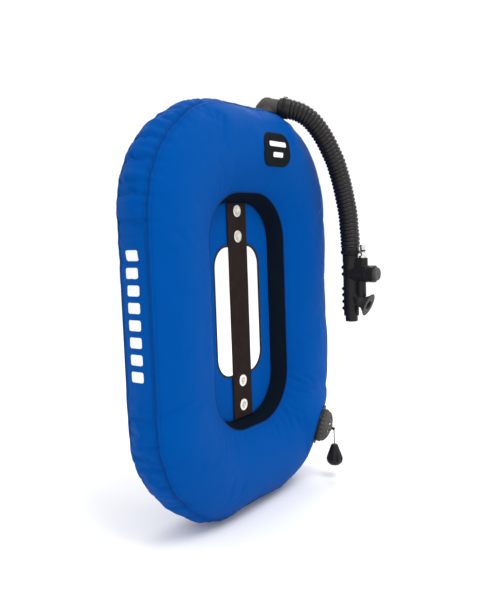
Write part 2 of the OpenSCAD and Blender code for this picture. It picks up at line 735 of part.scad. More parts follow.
// Outline of the cap's skirt and dome, from its rim to its middle
function dome(r_edge, z_edge, z_top, n) = [
    for (i = [0:n]) let (t = 90 * i / n) [r_edge * cos(t), z_edge + (z_top - z_edge) * sin(t)]
];
module valve_cap() color(grey) valve_frame() difference() {
    union() {
        rotate_extrude() polygon(concat(
            [[0, cap_low], [cap_r - 1, cap_low]],
            dome(cap_r - 1, cap_low + cap_side, cap_h, 8)));
        for (i = [0:rib_n - 1]) rotate([0, 0, 360 * (i + 0.5) / rib_n])
            translate([cap_r - 3, -1.4, cap_low]) cube([4, 2.8, cap_side - 1]);
        translate([0, 0, cap_h - 2]) cylinder(r = 6, h = 2.6);
    }
    rotate_extrude() polygon(concat(
        [[0, cap_low - 1], [cap_r - 1 - cap_wall, cap_low - 1]],
        dome(cap_r - 1 - cap_wall, cap_low + cap_side, cap_h - cap_wall, 8)));
    cylinder(r = 3, h = 60);
    for (i = [0:slot_n - 1]) rotate([0, 0, 360 * (i + 0.5) / slot_n])
        translate([13, -2.2, cap_low + cap_side + 1.5]) cube([cap_r - 18, 4.4, cap_h]);
}

eye_at = cap_h + 3.5;
module valve_poppet() color(black) valve_frame() {
    translate([0, 0, flange_top]) cylinder(r = valve_neck_r - 1.5, h = 2);
    translate([0, 0, flange_top + 2]) cylinder(r = 2.6, h = eye_at - flange_top - 2);
    translate([0, 0, eye_at]) sphere(r = 2.9, $fn = 32);
}
module valve_spring() color(steel) valve_frame() translate([0, 0, flange_top + 2])
    coil(6, 0.8, cap_h - cap_wall - flange_top - 3, 4);

cord_top = valve_foot + (eye_at + 1) * valve_n;
cord_free = 28;
cord_l = 34;
module pull_cord() color(black) swept(
    [cord_top + [0, 0, -2.9], cord_top + [0, 0, -12], cord_top + [0, 0, -22], cord_top + [0, 0, -cord_l]],
    cord_r, 8, [1, 0, 0], [0, 0, -1], [0, 0, -1]);

knob_r = 15;
module pull_knob() color(black) translate(cord_top - [0, 0, cord_free]) difference() {
    rotate_extrude() polygon([
        [0, 0], [4, 0], [6.5, -2], [8.5, -8], [11.5, -16], [knob_r - 0.6, -knob_h + 14],
        [knob_r, -knob_h + 10], [knob_r - 1.6, -knob_h + 4.5], [knob_r - 6, -knob_h], [0, -knob_h]
    ]);
    translate([0, 0, -cord_l + cord_free - 0.05]) cylinder(r = cord_r + pin_gap, h = 30);
    for (i = [0:7]) rotate([0, 0, 45 * i]) translate([knob_r + 0.8, 0, -knob_h - 1])
        rotate([0, -9, 0]) cylinder(r = 1.6, h = 32, $fn = 16);
}

// ---------- drawing ----------

front_panel();
rear_panel();
outer_band();
inner_wall_front();
inner_wall_rear();
center_panel();
slot_binding();
bladder_front();
bladder_rear();
center_strap();
strap_eyelets();
eyelet_washers();
patch();
patch_marks();
side_marks();
zip_tapes();
zip_teeth();
zip_slider();
zip_pull();
elbow_flange();
elbow_gasket();
elbow_ring();
elbow_body();
hose_upper_cuff();
upper_tie();
hose();
hose_lower_cuff();
lower_tie();
inflator_body();
mouthpiece();
nipple();
nipple_oring();
inflate_bezel();
inflate_button();
inflate_stem();
inflate_spring();
inflate_seal();
deflate_button();
deflate_stem();
deflate_spring();
deflate_seal();
valve_base();
valve_gasket();
valve_cap();
valve_poppet();
valve_spring();
pull_cord();
pull_knob();
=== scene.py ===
"""The looks of the single-tank buoyancy wing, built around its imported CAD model.

The fabric shell is three inflated panels with sewn seams, made as grids of points and puffed by a cloth
simulation. The hard parts are the CAD solids with their edges rounded as moulded plastic has them.
All sizes are in metres, in the CAD frame: X to the right, Y to the back, Z up.
"""
import json
import math

import bmesh
import bpy
import numpy as np
from mathutils import Matrix, Vector, noise


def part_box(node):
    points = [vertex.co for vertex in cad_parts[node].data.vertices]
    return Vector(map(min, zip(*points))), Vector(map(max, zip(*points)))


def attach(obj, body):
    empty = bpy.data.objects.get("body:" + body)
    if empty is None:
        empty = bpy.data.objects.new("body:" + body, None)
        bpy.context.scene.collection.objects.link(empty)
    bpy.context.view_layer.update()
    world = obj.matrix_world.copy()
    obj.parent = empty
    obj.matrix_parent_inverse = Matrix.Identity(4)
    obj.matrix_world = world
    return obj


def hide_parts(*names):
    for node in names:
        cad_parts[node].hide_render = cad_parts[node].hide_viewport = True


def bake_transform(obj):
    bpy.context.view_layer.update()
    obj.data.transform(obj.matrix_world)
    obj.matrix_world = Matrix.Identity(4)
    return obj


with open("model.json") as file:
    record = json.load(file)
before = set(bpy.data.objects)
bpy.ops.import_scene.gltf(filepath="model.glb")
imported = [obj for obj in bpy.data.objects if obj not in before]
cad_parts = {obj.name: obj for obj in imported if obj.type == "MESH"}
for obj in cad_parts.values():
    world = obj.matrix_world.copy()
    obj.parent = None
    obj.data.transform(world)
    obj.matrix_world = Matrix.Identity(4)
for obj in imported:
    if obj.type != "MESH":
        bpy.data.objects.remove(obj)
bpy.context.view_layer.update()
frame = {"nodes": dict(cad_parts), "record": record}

MM = 0.001

# ---------- sizes shared with part.scad ----------

SKIN = 1.2 * MM
WING_R = 176 * MM
OPEN_R = 80 * MM
BASE_R = 66 * MM
CROWN = 29 * MM
OUTER_POWER = 0.8
INNER_POWER = 1.0
BAND_SWELL = 5 * MM
PANEL_T = 1.5 * MM
BIND_W = 4 * MM
SLOT_R = 32 * MM
BOLT_SPAN = 279.4 * MM
BOLT_STEP = 41 * MM
BARREL_R = 6 * MM
EYELET_R = 5 * MM
HOSE_D = 34 * MM
ELBOW_ANGLE = math.radians(13.5)
ELBOW_TURN = math.radians(60)
ELBOW_DIP = math.radians(4)
ELBOW_RISE = 17 * MM
MOUTH_AT = 40 * MM
VALVE_ANGLE = math.radians(39)
VALVE_SHARE = 0.26
VALVE_LEAN = math.radians(7)
EYE_AT = 28.5 * MM
CORD_L = 34 * MM


def box_size(node):
    """Size of a CAD node's box, and its middle."""
    low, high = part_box(node)
    return high - low, (high + low) / 2


WING, WING_MID = box_size("front_panel")
WING_W, WING_H, WING_Z = WING.x, WING.z, WING_MID.z
WALL, WALL_MID = box_size("inner_wall_front")
OPEN_W, OPEN_H, OPEN_Z = WALL.x - 2 * SKIN, WALL.z - 2 * SKIN, WALL_MID.z
PANEL, PANEL_MID = box_size("center_panel")
BASE_W, BASE_H, BASE_Z = PANEL.x - 2 * SKIN, PANEL.z - 2 * SKIN, PANEL_MID.z
BAND_Y = box_size("outer_band")[0].y / 2
SEAM_Y = BAND_Y + SKIN
WALL_Y = -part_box("inner_wall_front")[0].y
EDGE_Y = WALL_Y + SKIN
CORNER_X = WING_W / 2 - WING_R
CORNER_Z = WING_H / 2 - WING_R
BINDING, BINDING_MID = box_size("slot_binding")
STRAP, STRAP_MID = box_size("center_strap")
BOLT_Z = (BOLT_SPAN / 2, BOLT_SPAN / 2 - BOLT_STEP, -BOLT_SPAN / 2, -BOLT_SPAN / 2 - BOLT_STEP)


def unit(v):
    """A vector of length 1."""
    v = np.array(v, float)
    return v / np.linalg.norm(v)


# The elbow's foot, axis, outlet direction and outlet, worked out as part.scad does
ELBOW_N = np.array([math.sin(ELBOW_ANGLE), 0, math.cos(ELBOW_ANGLE)])
ELBOW_FOOT = np.array([CORNER_X, 0, WING_Z + CORNER_Z]) + (WING_R + BAND_SWELL) * ELBOW_N
ELBOW_SIDE = np.array([math.cos(ELBOW_ANGLE), 0, -math.sin(ELBOW_ANGLE)])
ELBOW_FLAT = math.cos(ELBOW_TURN) * ELBOW_SIDE + math.sin(ELBOW_TURN) * np.array([0, -1, 0])
ELBOW_D = math.cos(ELBOW_DIP) * ELBOW_FLAT - math.sin(ELBOW_DIP) * ELBOW_N
ELBOW_MID = ELBOW_FOOT + ELBOW_RISE * ELBOW_N
HOSE_MOUTH = ELBOW_MID + MOUTH_AT * ELBOW_D

# Offsets of the hose's centre line from the elbow's outlet, the same points as in part.scad
HOSE_STEPS = MM * np.array([
    [0, 0, 0], [8, -14, -6], [17, -26, -16], [25, -35, -29], [32, -42, -43], [38, -48, -58],
    [44, -53, -74], [49, -58, -90], [54, -61, -107], [58, -64, -124], [62, -66, -141],
    [65, -68, -158], [67, -70, -174], [69, -71, -190], [71, -71, -207], [72, -72, -224],
    [72, -72, -241],
])
HOSE_ROUTE = HOSE_MOUTH + HOSE_STEPS

# ---------- camera, lights and floor ----------

CAMERA_AZIMUTH = math.radians(-53.55)
CAMERA_ELEVATION = math.radians(5.645)
CAMERA_ROLL = math.radians(-2.1)
CAMERA_DISTANCE = 1.1374
CAMERA_LENS_MM = 40.6
CAMERA_SHIFT = (0.0182, -0.0162)
FLOOR_GAP = 3 * MM


def add_camera():
    """Camera at the photograph's viewing angle."""
    data = bpy.data.cameras.new("camera")
    data.lens = CAMERA_LENS_MM
    data.shift_x, data.shift_y = CAMERA_SHIFT
    data.clip_start = 0.01
    camera = bpy.data.objects.new("camera", data)
    bpy.context.scene.collection.objects.link(camera)
    az, el = CAMERA_AZIMUTH, CAMERA_ELEVATION
    back = Vector((math.sin(az) * math.cos(el), -math.cos(az) * math.cos(el), math.sin(el)))
    side = Vector((math.cos(az), math.sin(az), 0))
    up = back.cross(side)
    right = side * math.cos(CAMERA_ROLL) + up * math.sin(CAMERA_ROLL)
    top = up * math.cos(CAMERA_ROLL) - side * math.sin(CAMERA_ROLL)
    turn = Matrix((right, top, back)).transposed().to_4x4()
    camera.matrix_world = Matrix.Translation(back * CAMERA_DISTANCE) @ turn
    bpy.context.scene.camera = camera


def add_light(name, place, size, power):
    """Soft square light aimed at the wing's middle."""
    data = bpy.data.lights.new(name, "AREA")
    data.size = size
    data.energy = power
    light = bpy.data.objects.new(name, data)
    bpy.context.scene.collection.objects.link(light)
    light.location = place
    light.rotation_euler = (Vector((0, 0, 0)) - Vector(place)).to_track_quat("-Z", "Y").to_euler()


def add_studio():
    """Pale world light, two soft lights and a pale floor."""
    scene = bpy.context.scene
    scene.view_settings.view_transform = "Standard"
    world = bpy.data.worlds.new("studio")
    world.use_nodes = True
    world.node_tree.nodes["Background"].inputs["Color"].default_value = (1, 1, 1, 1)
    world.node_tree.nodes["Background"].inputs["Strength"].default_value = 1.05
    scene.world = world
    add_light("key", (-0.3, -1.5, 2.6), 1.4, 40)
    add_light("rim", (1.8, 0.6, 1.6), 1.2, 14)
    bpy.ops.mesh.primitive_plane_add(size=60, location=(0, 0, WING_Z - WING_H / 2 - 0.008 - FLOOR_GAP))
    floor = bpy.context.object
    floor.name = "floor"
    floor.data.materials.append(floor_look())


# ---------- materials ----------

class Look:
    """A node material with a Principled shader, and short calls for adding nodes to it."""

    def __init__(self, name, roughness, metallic=0.0, specular=0.5):
        self.material = bpy.data.materials.new(name)
        self.material.use_nodes = True
        self.tree = self.material.node_tree
        self.shader = self.tree.nodes["Principled BSDF"]
        self.shader.inputs["Roughness"].default_value = roughness
        self.shader.inputs["Metallic"].default_value = metallic
        self.shader.inputs["Specular IOR Level"].default_value = specular

    def node(self, kind, **settings):
        """Adds a node, with its settings by attribute name."""
        made = self.tree.nodes.new(kind)
        for key, value in settings.items():
            setattr(made, key, value)
        return made

    def link(self, a, b):
        """Joins an output socket to an input socket."""
        self.tree.links.new(a, b)

    def math(self, operation, a, b=None):
        """A math node on sockets or numbers; returns its output."""
        made = self.node("ShaderNodeMath", operation=operation)
        for socket, value in zip(made.inputs, (a, b)):
            if isinstance(value, (int, float)):
                socket.default_value = value
            elif value is not None:
                self.link(value, socket)
        return made.outputs[0]

    def noise(self, scale, detail=3.0, coords=None):
        """Noise between 0 and 1, in object space unless coords is given."""
        made = self.node("ShaderNodeTexNoise")
        made.inputs["Scale"].default_value = scale
        made.inputs["Detail"].default_value = detail
        self.link(coords or self.object_coords(), made.inputs["Vector"])
        return made.outputs["Fac"]

    def object_coords(self):
        """Object coordinates, in metres."""
        return self.node("ShaderNodeTexCoord").outputs["Object"]

    def uv_axes(self):
        """The two cloth coordinates of a generated piece, in metres."""
        made = self.node("ShaderNodeUVMap", uv_map="cloth")
        split = self.node("ShaderNodeSeparateXYZ")
        self.link(made.outputs["UV"], split.inputs[0])
        return split.outputs["X"], split.outputs["Y"]

    def wave(self, coordinate, pitch):
        """Sine of a coordinate with one period a pitch."""
        return self.math("SINE", self.math("MULTIPLY", coordinate, 2 * math.pi / pitch))

    def colour(self, low, high, factor):
        """Base colour between two colours by a factor; returns its output."""
        mix = self.node("ShaderNodeMix", data_type="RGBA")
        mix.inputs["A"].default_value = (*low, 1)
        mix.inputs["B"].default_value = (*high, 1)
        self.link(factor, mix.inputs["Factor"])
        self.link(mix.outputs["Result"], self.shader.inputs["Base Color"])
        return mix.outputs["Result"]

    def rough(self, low, high, factor):
        """Roughness that varies between two values."""
        made = self.node("ShaderNodeMapRange")
        made.inputs["To Min"].default_value = low
        made.inputs["To Max"].default_value = high
        self.link(factor, made.inputs["Value"])
        self.link(made.outputs["Result"], self.shader.inputs["Roughness"])

    def bump(self, height, distance, strength=1.0):
        """Bump from a height socket, added after any bump already there."""
        made = self.node("ShaderNodeBump")
        made.inputs["Distance"].default_value = distance
        made.inputs["Strength"].default_value = strength
        self.link(height, made.inputs["Height"])
        if self.shader.inputs["Normal"].is_linked:
            self.link(self.shader.inputs["Normal"].links[0].from_socket, made.inputs["Normal"])
        self.link(made.outputs["Normal"], self.shader.inputs["Normal"])


def tint(colour, share):
    """A colour made brighter or darker by a share."""
    return tuple(min(1.0, c * share) for c in colour)


def woven_look(name, colour, pitch, roughness, sheen=0.0, specular=0.25, spread=0.08, tint_colour=None):
    """Plain-woven cloth: crossing threads, soft blotches and creases."""
    look = Look(name, roughness, specular=specular)
    u, v = look.uv_axes()
    weave = look.math("MULTIPLY", look.wave(u, pitch), look.wave(v, pitch))
    blotch = look.noise(9, 4)
    thread = look.math("ADD", look.math("MULTIPLY", weave, 0.12), blotch)
    look.colour(tint(colour, 1 - spread), tint(colour, 1 + spread), thread)
    look.rough(roughness - 0.07, roughness + 0.08, look.noise(40, 2))
    look.bump(look.noise(22, 5), 1.2 * MM, 0.25)
    look.bump(weave, 0.12 * MM, 0.8)
    look.shader.inputs["Sheen Weight"].default_value = sheen
    if tint_colour:
        look.shader.inputs["Specular Tint"].default_value = (*tint_colour, 1)
    return look.material


def webbing_look(name, colour, pitch):
    """Ribbed webbing: lengthwise ribs crossed by a tight weft, with worn lighter threads."""
    look = Look(name, 0.8, specular=0.06)
    u, v = look.uv_axes()
    rib = look.wave(u, 2.4 * pitch)
    weft = look.math("MULTIPLY", look.wave(v, pitch), look.wave(u, 1.2 * pitch))
    height = look.math("ADD", rib, look.math("MULTIPLY", weft, 0.6))
    fleck = look.math("ADD", look.math("MULTIPLY", height, 0.18), look.noise(60, 5))
    look.colour(tint(colour, 0.65), tint(colour, 1.5), fleck)
    look.rough(0.66, 0.86, look.noise(120, 2))
    look.bump(height, 0.25 * MM, 0.9)
    return look.material


def moulded_look(name, colour, roughness, grain=0.03, worn=1.35, specular=0.12):
    """Moulded plastic or rubber: fine spark grain, faint flow marks, paler rubbed edges and painted shade that
    darkens its hollows.
    """
    look = Look(name, roughness, specular=specular)
    edge = look.node("ShaderNodeNewGeometry").outputs["Pointiness"]
    # Pointiness: paler on rubbed convex edges, and darker in concave hollows as painted shade.
    rub_and_hollow_shade = look.math("MULTIPLY", look.math("SUBTRACT", edge, 0.5), 6.0)
    shade = look.math("ADD", look.noise(35, 4), rub_and_hollow_shade)
    look.colour(tint(colour, 0.8), tint(colour, worn), shade)
    look.rough(roughness - 0.08, roughness + 0.1, look.noise(260, 3))
    look.bump(look.noise(1800, 2), grain * MM, 0.7)
    return look.material


def metal_look(name, colour, roughness, turned=0.35 * MM):
    """Plated metal with fine turning lines, smudges and small scratches."""
    look = Look(name, roughness, metallic=1.0)
    smudge = look.noise(180, 4)
    look.colour(tint(colour, 0.78), tint(colour, 1.05), smudge)
    look.rough(roughness - 0.06, roughness + 0.16, look.noise(420, 3))
    split = look.node("ShaderNodeSeparateXYZ")
    look.link(look.object_coords(), split.inputs[0])
    look.bump(look.wave(split.outputs["Z"], turned), 0.02 * MM, 0.3)
    return look.material


def print_look(name, colour):
    """Screen-printed white with faint gaps where the weave shows."""
    look = Look(name, 0.55, specular=0.3)
    u, v = look.uv_axes()
    weave = look.math("MULTIPLY", look.wave(u, 1.1 * MM), look.wave(v, 1.1 * MM))
    look.colour(tint(colour, 0.82), tint(colour, 1.06), look.math("ADD", look.noise(70, 4), weave))
    look.bump(weave, 0.08 * MM, 0.6)
    return look.material


def film_look(name, colour):
    """Milky polyurethane film with soft creases."""
    look = Look(name, 0.35, specular=0.5)
    look.colour(tint(colour, 0.85), tint(colour, 1.1), look.noise(14, 5))
    look.bump(look.noise(30, 6), 1.5 * MM, 0.5)
    return look.material


def braid_look(name, colour):
    """Thin braided line with pale flecks."""
    look = Look(name, 0.6, specular=0.35)
    split = look.node("ShaderNodeSeparateXYZ")
    look.link(look.object_coords(), split.inputs[0])
    braid = look.wave(look.math("ADD", split.outputs["Z"], split.outputs["X"]), 1.6 * MM)
    look.colour(tint(colour, 0.55), tint(colour, 1.3), look.math("ADD", braid, look.noise(300, 3)))
    look.bump(braid, 0.15 * MM, 0.8)
    return look.material


def floor_look():
    """Matt pale studio floor."""
    look = Look("floor_look", 0.95, specular=0.0)
    look.colour((0.955, 0.955, 0.955), (0.985, 0.985, 0.985), look.noise(3, 3))
    return look.material


LOOKS = {
    "shell_blue": woven_look("shell_blue", (0.0, 0.073, 0.342), 0.55 * MM, 0.62, 0.0, 0.07, 0.05, (0.05, 0.4, 1.0)),
    # wall_navy is near black: navy cloth with the recess's shade painted into its colour.
    "wall_navy": woven_look("wall_navy", (0.0008, 0.0048, 0.0125), 0.7 * MM, 0.72, 0.0, 0.08, 0.2),
    "binding_black": woven_look("binding_black", (0.009, 0.009, 0.011), 0.8 * MM, 0.72, 0.1, 0.3, 0.25),
    "bladder_film": film_look("bladder_film", (0.55, 0.57, 0.6)),
    "webbing_black": webbing_look("webbing_black", (0.021, 0.013, 0.0125), 1.0 * MM),
    "eyelet_steel": metal_look("eyelet_steel", (0.88, 0.85, 0.76), 0.28),
    "patch_black": moulded_look("patch_black", (0.0055, 0.0075, 0.0095), 0.6, 0.06, specular=0.05),
    "print_white": print_look("print_white", (0.88, 0.89, 0.90)),
    "zip_black": woven_look("zip_black", (0.012, 0.012, 0.013), 0.6 * MM, 0.7, 0.1, 0.3, 0.2),
    "plastic_black": moulded_look("plastic_black", (0.0095, 0.0078, 0.008), 0.38, specular=0.22),
    # plastic_grey is the lit colour of black plastic: its grey is a painted highlight.
    "plastic_grey": moulded_look("plastic_grey", (0.066, 0.062, 0.056), 0.5),
    "rubber_black": moulded_look("rubber_black", (0.0085, 0.0068, 0.0068), 0.36, 0.04, specular=0.3),
    "rubber_grey": moulded_look("rubber_grey", (0.035, 0.033, 0.033), 0.5, 0.04),
    "tie_black": moulded_look("tie_black", (0.010, 0.010, 0.010), 0.34),
    "nipple_steel": metal_look("nipple_steel", (0.80, 0.78, 0.73), 0.2),
    "cord_black": braid_look("cord_black", (0.20, 0.19, 0.18)),
}
THREAD = moulded_look("seam_thread", (0.0, 0.030, 0.15), 0.7, 0.05)
BLACK_THREAD = moulded_look("black_thread", (0.012, 0.011, 0.011), 0.7, 0.05)

NODE_BODY = {n: body for body, nodes in frame["record"]["behaviour"]["bodies"].items() for n in nodes}
NODE_SLOT = {s["node"]: s["material_slot"] for s in frame["record"]["subparts"]}


def dress_cad_nodes():
    """Gives every CAD node the look of its material slot."""
    for name, node in frame["nodes"].items():
        node.data.materials.clear()
        node.data.materials.append(LOOKS[NODE_SLOT[name]])


# ---------- building pieces ----------

def add_object(name, mesh, look, body="root", smooth=True):
    """A new piece with one material that rides on a body."""
    piece = bpy.data.objects.new(name, mesh)
    bpy.context.scene.collection.objects.link(piece)
    mesh.materials.clear()
    mesh.materials.append(look)
    if smooth:
        mesh.polygons.foreach_set("use_smooth", [True] * len(mesh.polygons))
    if body:
        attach(piece, body)
    return piece


def add_piece(name, mesh, node, body=None, look=None, smooth=True, instead_of=()):
    """A piece that stands for CAD nodes, with the look, slot and body of the first."""
    slot = NODE_SLOT[node]
    piece = add_object(name, mesh, look or LOOKS[slot], body or NODE_BODY[node], smooth)
    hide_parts(node, *instead_of)
    return piece


def grid_mesh(name, points, uv, closed=True, flip=False):
    """Quads over a grid of points, rows by columns, closed round the columns or open."""
    rows, cols = points.shape[:2]
    spans = cols if closed else cols - 1
    faces, corners = [], []
    for i in range(rows - 1):
        for j in range(spans):
            k = (j + 1) % cols
            quad = [(i, j, j), (i, k, j + 1), (i + 1, k, j + 1), (i + 1, j, j)]
            if flip:
                quad.reverse()
            faces.append([a * cols + b for a, b, _ in quad])
            corners.extend((a, c) for a, _, c in quad)
    mesh = bpy.data.meshes.new(name)
    mesh.from_pydata(points.reshape(-1, 3).tolist(), [], faces)
    layer = mesh.uv_layers.new(name="cloth")
    pick = np.array(corners)
    layer.data.foreach_set("uv", uv[pick[:, 0], pick[:, 1]].ravel())
    return mesh


def run_lengths(points):
    """Distance along a row of points from its first, with one more entry for the way back to it."""
    steps = np.linalg.norm(np.roll(points, -1, axis=0) - points, axis=1)
    return np.concatenate([[0], np.cumsum(steps)])


def planar_uv(points):
    """Cloth coordinates of a grid that lies mostly in the XZ plane."""
    closed = np.concatenate([points, points[:, :1]], axis=1)
    return closed[:, :, [0, 2]]


def wrap_uv(points):
    """Cloth coordinates of a ring-shaped band: along its middle row, and Y."""
    along = run_lengths(points[len(points) // 2])
    across = points[:, :1, 1]
    return np.stack(np.broadcast_arrays(along[None, :], across), axis=2)


ARC_N, SIDE_N, TOP_N = 56, 60, 20


def outline(w, h, r, zc):
    """Closed rounded rectangle as [x, z] points, the same count on each stretch whatever its size."""
    points = []
    for quarter in range(4):
        cx = (w / 2 - r) * (1 if quarter in (0, 3) else -1)
        cz = (h / 2 - r) * (1 if quarter < 2 else -1)
        start = math.pi / 2 * quarter
        for i in range(ARC_N):
            a = start + math.pi / 2 * i / ARC_N
            points.append((cx + r * math.cos(a), zc + cz + r * math.sin(a)))
        a = start + math.pi / 2
        here = np.array((cx + r * math.cos(a), zc + cz + r * math.sin(a)))
        turned = quarter % 2 == 0
        way = (-2 * (w / 2 - r), 0) if quarter == 0 else (2 * (w / 2 - r), 0)
        if not turned:
            way = (0, -2 * (h / 2 - r)) if quarter == 1 else (0, 2 * (h / 2 - r))
        count = TOP_N if turned else SIDE_N
        for i in range(count):
            points.append(tuple(here + np.array(way) * i / count))
    return np.array(points)


def lerp(a, b, t):
    return a + (b - a) * t


def across(s):
    """Outline at share s across the ring, from the outer seam (0) to the opening's edge (1)."""
    return outline(lerp(WING_W, OPEN_W, s), lerp(WING_H, OPEN_H, s), lerp(WING_R, OPEN_R, s),
                   lerp(WING_Z, OPEN_Z, s))


def face_depth(s):
    """Depth of a face's outer surface from the middle plane at share s."""
    power = np.where(np.asarray(s) < 0.5, OUTER_POWER, INNER_POWER)
    return lerp(SEAM_Y, EDGE_Y, s) + CROWN * np.maximum(0, np.sin(math.pi * s)) ** power


def at_depth(flat, y):
    """[x, z] points as [x, y, z]."""
    return np.stack([flat[:, 0], np.full(len(flat), y), flat[:, 1]], axis=1)


def inside(x, z, w, h, r, zc):
    """Distance of a point inside a rounded rectangle, negative outside it."""
    qx, qz = abs(x) - w / 2 + r, abs(z - zc) - h / 2 + r
    return r - math.hypot(max(qx, 0), max(qz, 0)) - min(max(qx, qz), 0)


def face_y(x, z):
    """Depth of the face's surface at a point, as a positive number."""
    out = inside(x, z, WING_W, WING_H, WING_R, WING_Z)
    way_in = -inside(x, z, OPEN_W, OPEN_H, OPEN_R, OPEN_Z)
    return float(face_depth(min(1.0, max(0.0, out / (out + way_in)))))


def wander(points, scale, size, seed):
    """Smooth noise vectors at points, of about the given size, that repeat each run."""
    offset = Vector((seed * 7.3, seed * 3.1, seed * 5.7))
    return np.array([noise.noise_vector(Vector(p) * scale + offset) for p in points]) * size


# ---------- wing shell ----------

FACE_SHARES = np.concatenate([[0, 0.012, 0.03, 0.055], np.linspace(0.085, 0.93, 27), [0.96, 0.985, 1]])
BAND_LEVELS = np.linspace(-1, 1, 15)
PUFF_CAP = 6 * MM
SINK_CAP = 1.2 * MM


def valve_place():
    """Foot and outward direction of the dump valve."""
    flat = np.array([math.cos(VALVE_ANGLE), 0, -math.sin(VALVE_ANGLE)])
    outer = np.array([CORNER_X, 0, WING_Z - CORNER_Z]) + WING_R * flat
    inner_z = OPEN_Z - OPEN_H / 2 + OPEN_R
    inner = np.array([OPEN_W / 2 - OPEN_R, 0, inner_z]) + OPEN_R * flat
    foot = lerp(outer, inner, VALVE_SHARE) - np.array([0, face_depth(VALVE_SHARE), 0])
    angle = math.pi * VALVE_SHARE
    rise = (CROWN * OUTER_POWER * math.sin(angle) ** (OUTER_POWER - 1) * math.cos(angle) * math.pi
            + EDGE_Y - SEAM_Y)
    tilt = math.atan(rise / np.linalg.norm(outer - inner)) + VALVE_LEAN
    out = math.sin(tilt) * unit(outer - inner) + math.cos(tilt) * np.array([0, -1, 0])
    return foot, out


VALVE_FOOT, VALVE_N = valve_place()


def fade(distance, near, far):
    """0 nearer than near, 1 farther than far, and smooth between them."""
    t = np.clip((distance - near) / (far - near), 0, 1)
    return t * t * (3 - 2 * t)


def freedom(points, rear):
    """How freely the fabric may move at each point: 0 where a fitting or print holds it."""
    free = fade(np.linalg.norm(points - VALVE_FOOT, axis=1), 36 * MM, 62 * MM)
    free = free * fade(np.linalg.norm(points - ELBOW_FOOT, axis=1), 22 * MM, 45 * MM)
    low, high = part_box("side_marks")
    free = free * fade(np.maximum(points[:, 0] - high.x, 0) + np.maximum(
        np.abs(points[:, 2] - (low.z + high.z) / 2) - (high.z - low.z) / 2, 0), 8 * MM, 40 * MM)
    low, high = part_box("patch")
    gap = np.maximum(np.abs(points[:, [0, 2]] - [(low.x + high.x) / 2, (low.z + high.z) / 2])
                     - [(high.x - low.x) / 2, (high.z - low.z) / 2], 0)
    if rear:
        low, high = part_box("zip_tapes")
        gap = np.maximum(np.abs(points[:, [0, 2]] - [(low.x + high.x) / 2, (low.z + high.z) / 2])
                         - [(high.x - low.x) / 2, (high.z - low.z) / 2], 0)
    return free * fade(np.linalg.norm(gap, axis=1), 1 * MM, 22 * MM)


def slack(points):
    """How much spare cloth there is at each point: most at the corners, where the seams curve."""
    dx = np.maximum(np.abs(points[:, 0]) - CORNER_X * 0.7, 0)
    dz = np.maximum(np.abs(points[:, 2] - WING_Z) - CORNER_Z * 0.8, 0)
    corner = np.minimum(1, np.minimum(dx, dz) / (60 * MM))
    patchy = 0.5 + 0.5 * np.array([noise.noise(Vector(p) * 14) for p in points])
    return np.clip(0.25 + 0.75 * corner * (0.5 + patchy), 0, 1)


def puff(pieces, frames=18):
    """Cloth simulation of open panels held at their seams, run together and written to their meshes."""
    starts = []
    for piece, settings in pieces:
        count = len(piece.data.vertices)
        points = np.zeros(count * 3)
        piece.data.vertices.foreach_get("co", points)
        points = points.reshape(-1, 3)
        starts.append(points)
        held = piece.vertex_groups.new(name="held")
        held.add(settings["held"], 1.0, "REPLACE")
        tight = piece.vertex_groups.new(name="tight")
        for index, share in enumerate(1 - slack(points)):
            tight.add([index], float(share), "REPLACE")
        cloth = piece.modifiers.new("puff", "CLOTH")
        cloth.settings.quality = 6
        cloth.settings.mass = 0.08
        cloth.settings.tension_stiffness = 18
        cloth.settings.compression_stiffness = 18
        cloth.settings.shear_stiffness = 6
        cloth.settings.bending_stiffness = settings["bending"]
        cloth.settings.use_pressure = True
        cloth.settings.uniform_pressure_force = settings["pressure"]
        cloth.settings.effector_weights.gravity = 0
        cloth.settings.vertex_group_mass = "held"
        cloth.settings.vertex_group_shrink = "tight"
        cloth.settings.shrink_min = -settings["spare"]
        cloth.settings.shrink_max = 0.0
        cloth.collision_settings.use_collision = False
        cloth.point_cache.frame_end = frames
    for step in range(1, frames + 1):
        bpy.context.scene.frame_set(step)
    graph = bpy.context.evaluated_depsgraph_get()
    for (piece, settings), start in zip(pieces, starts):
        moved = np.zeros(start.size)
        piece.evaluated_get(graph).data.vertices.foreach_get("co", moved)
        piece.modifiers.remove(piece.modifiers["puff"])
        piece.vertex_groups.clear()
        shift = (moved.reshape(-1, 3) - start) * freedom(start, settings["rear"])[:, None]
        length = np.linalg.norm(shift, axis=1, keepdims=True)
        shift = shift * np.minimum(1, PUFF_CAP / np.maximum(length, 1e-9))
        rise = np.sum(shift * settings["out"], axis=1, keepdims=True)
        shift = shift + np.maximum(0, -SINK_CAP - rise) * settings["out"]
        piece.data.vertices.foreach_set("co", (start + shift).ravel())
    bpy.context.scene.frame_set(1)


def grid_points(piece, rows):
    """A grid piece's points as rows by columns."""
    points = np.zeros(len(piece.data.vertices) * 3)
    piece.data.vertices.foreach_get("co", points)
    return points.reshape(rows, -1, 3)


def shell_wobble(points):
    """Slow unevenness of the whole shell, the same for every panel so that seams still meet."""
    shift = wander(points, 9, 3.2 * MM, 1) + wander(points, 22, 1.2 * MM, 2)
    held = freedom(points, False) * freedom(points, True)
    near_opening = np.array([-inside(p[0], p[2], OPEN_W, OPEN_H, OPEN_R, OPEN_Z) for p in points])
    return points + shift * (held * fade(near_opening, 2 * MM, 60 * MM))[:, None]


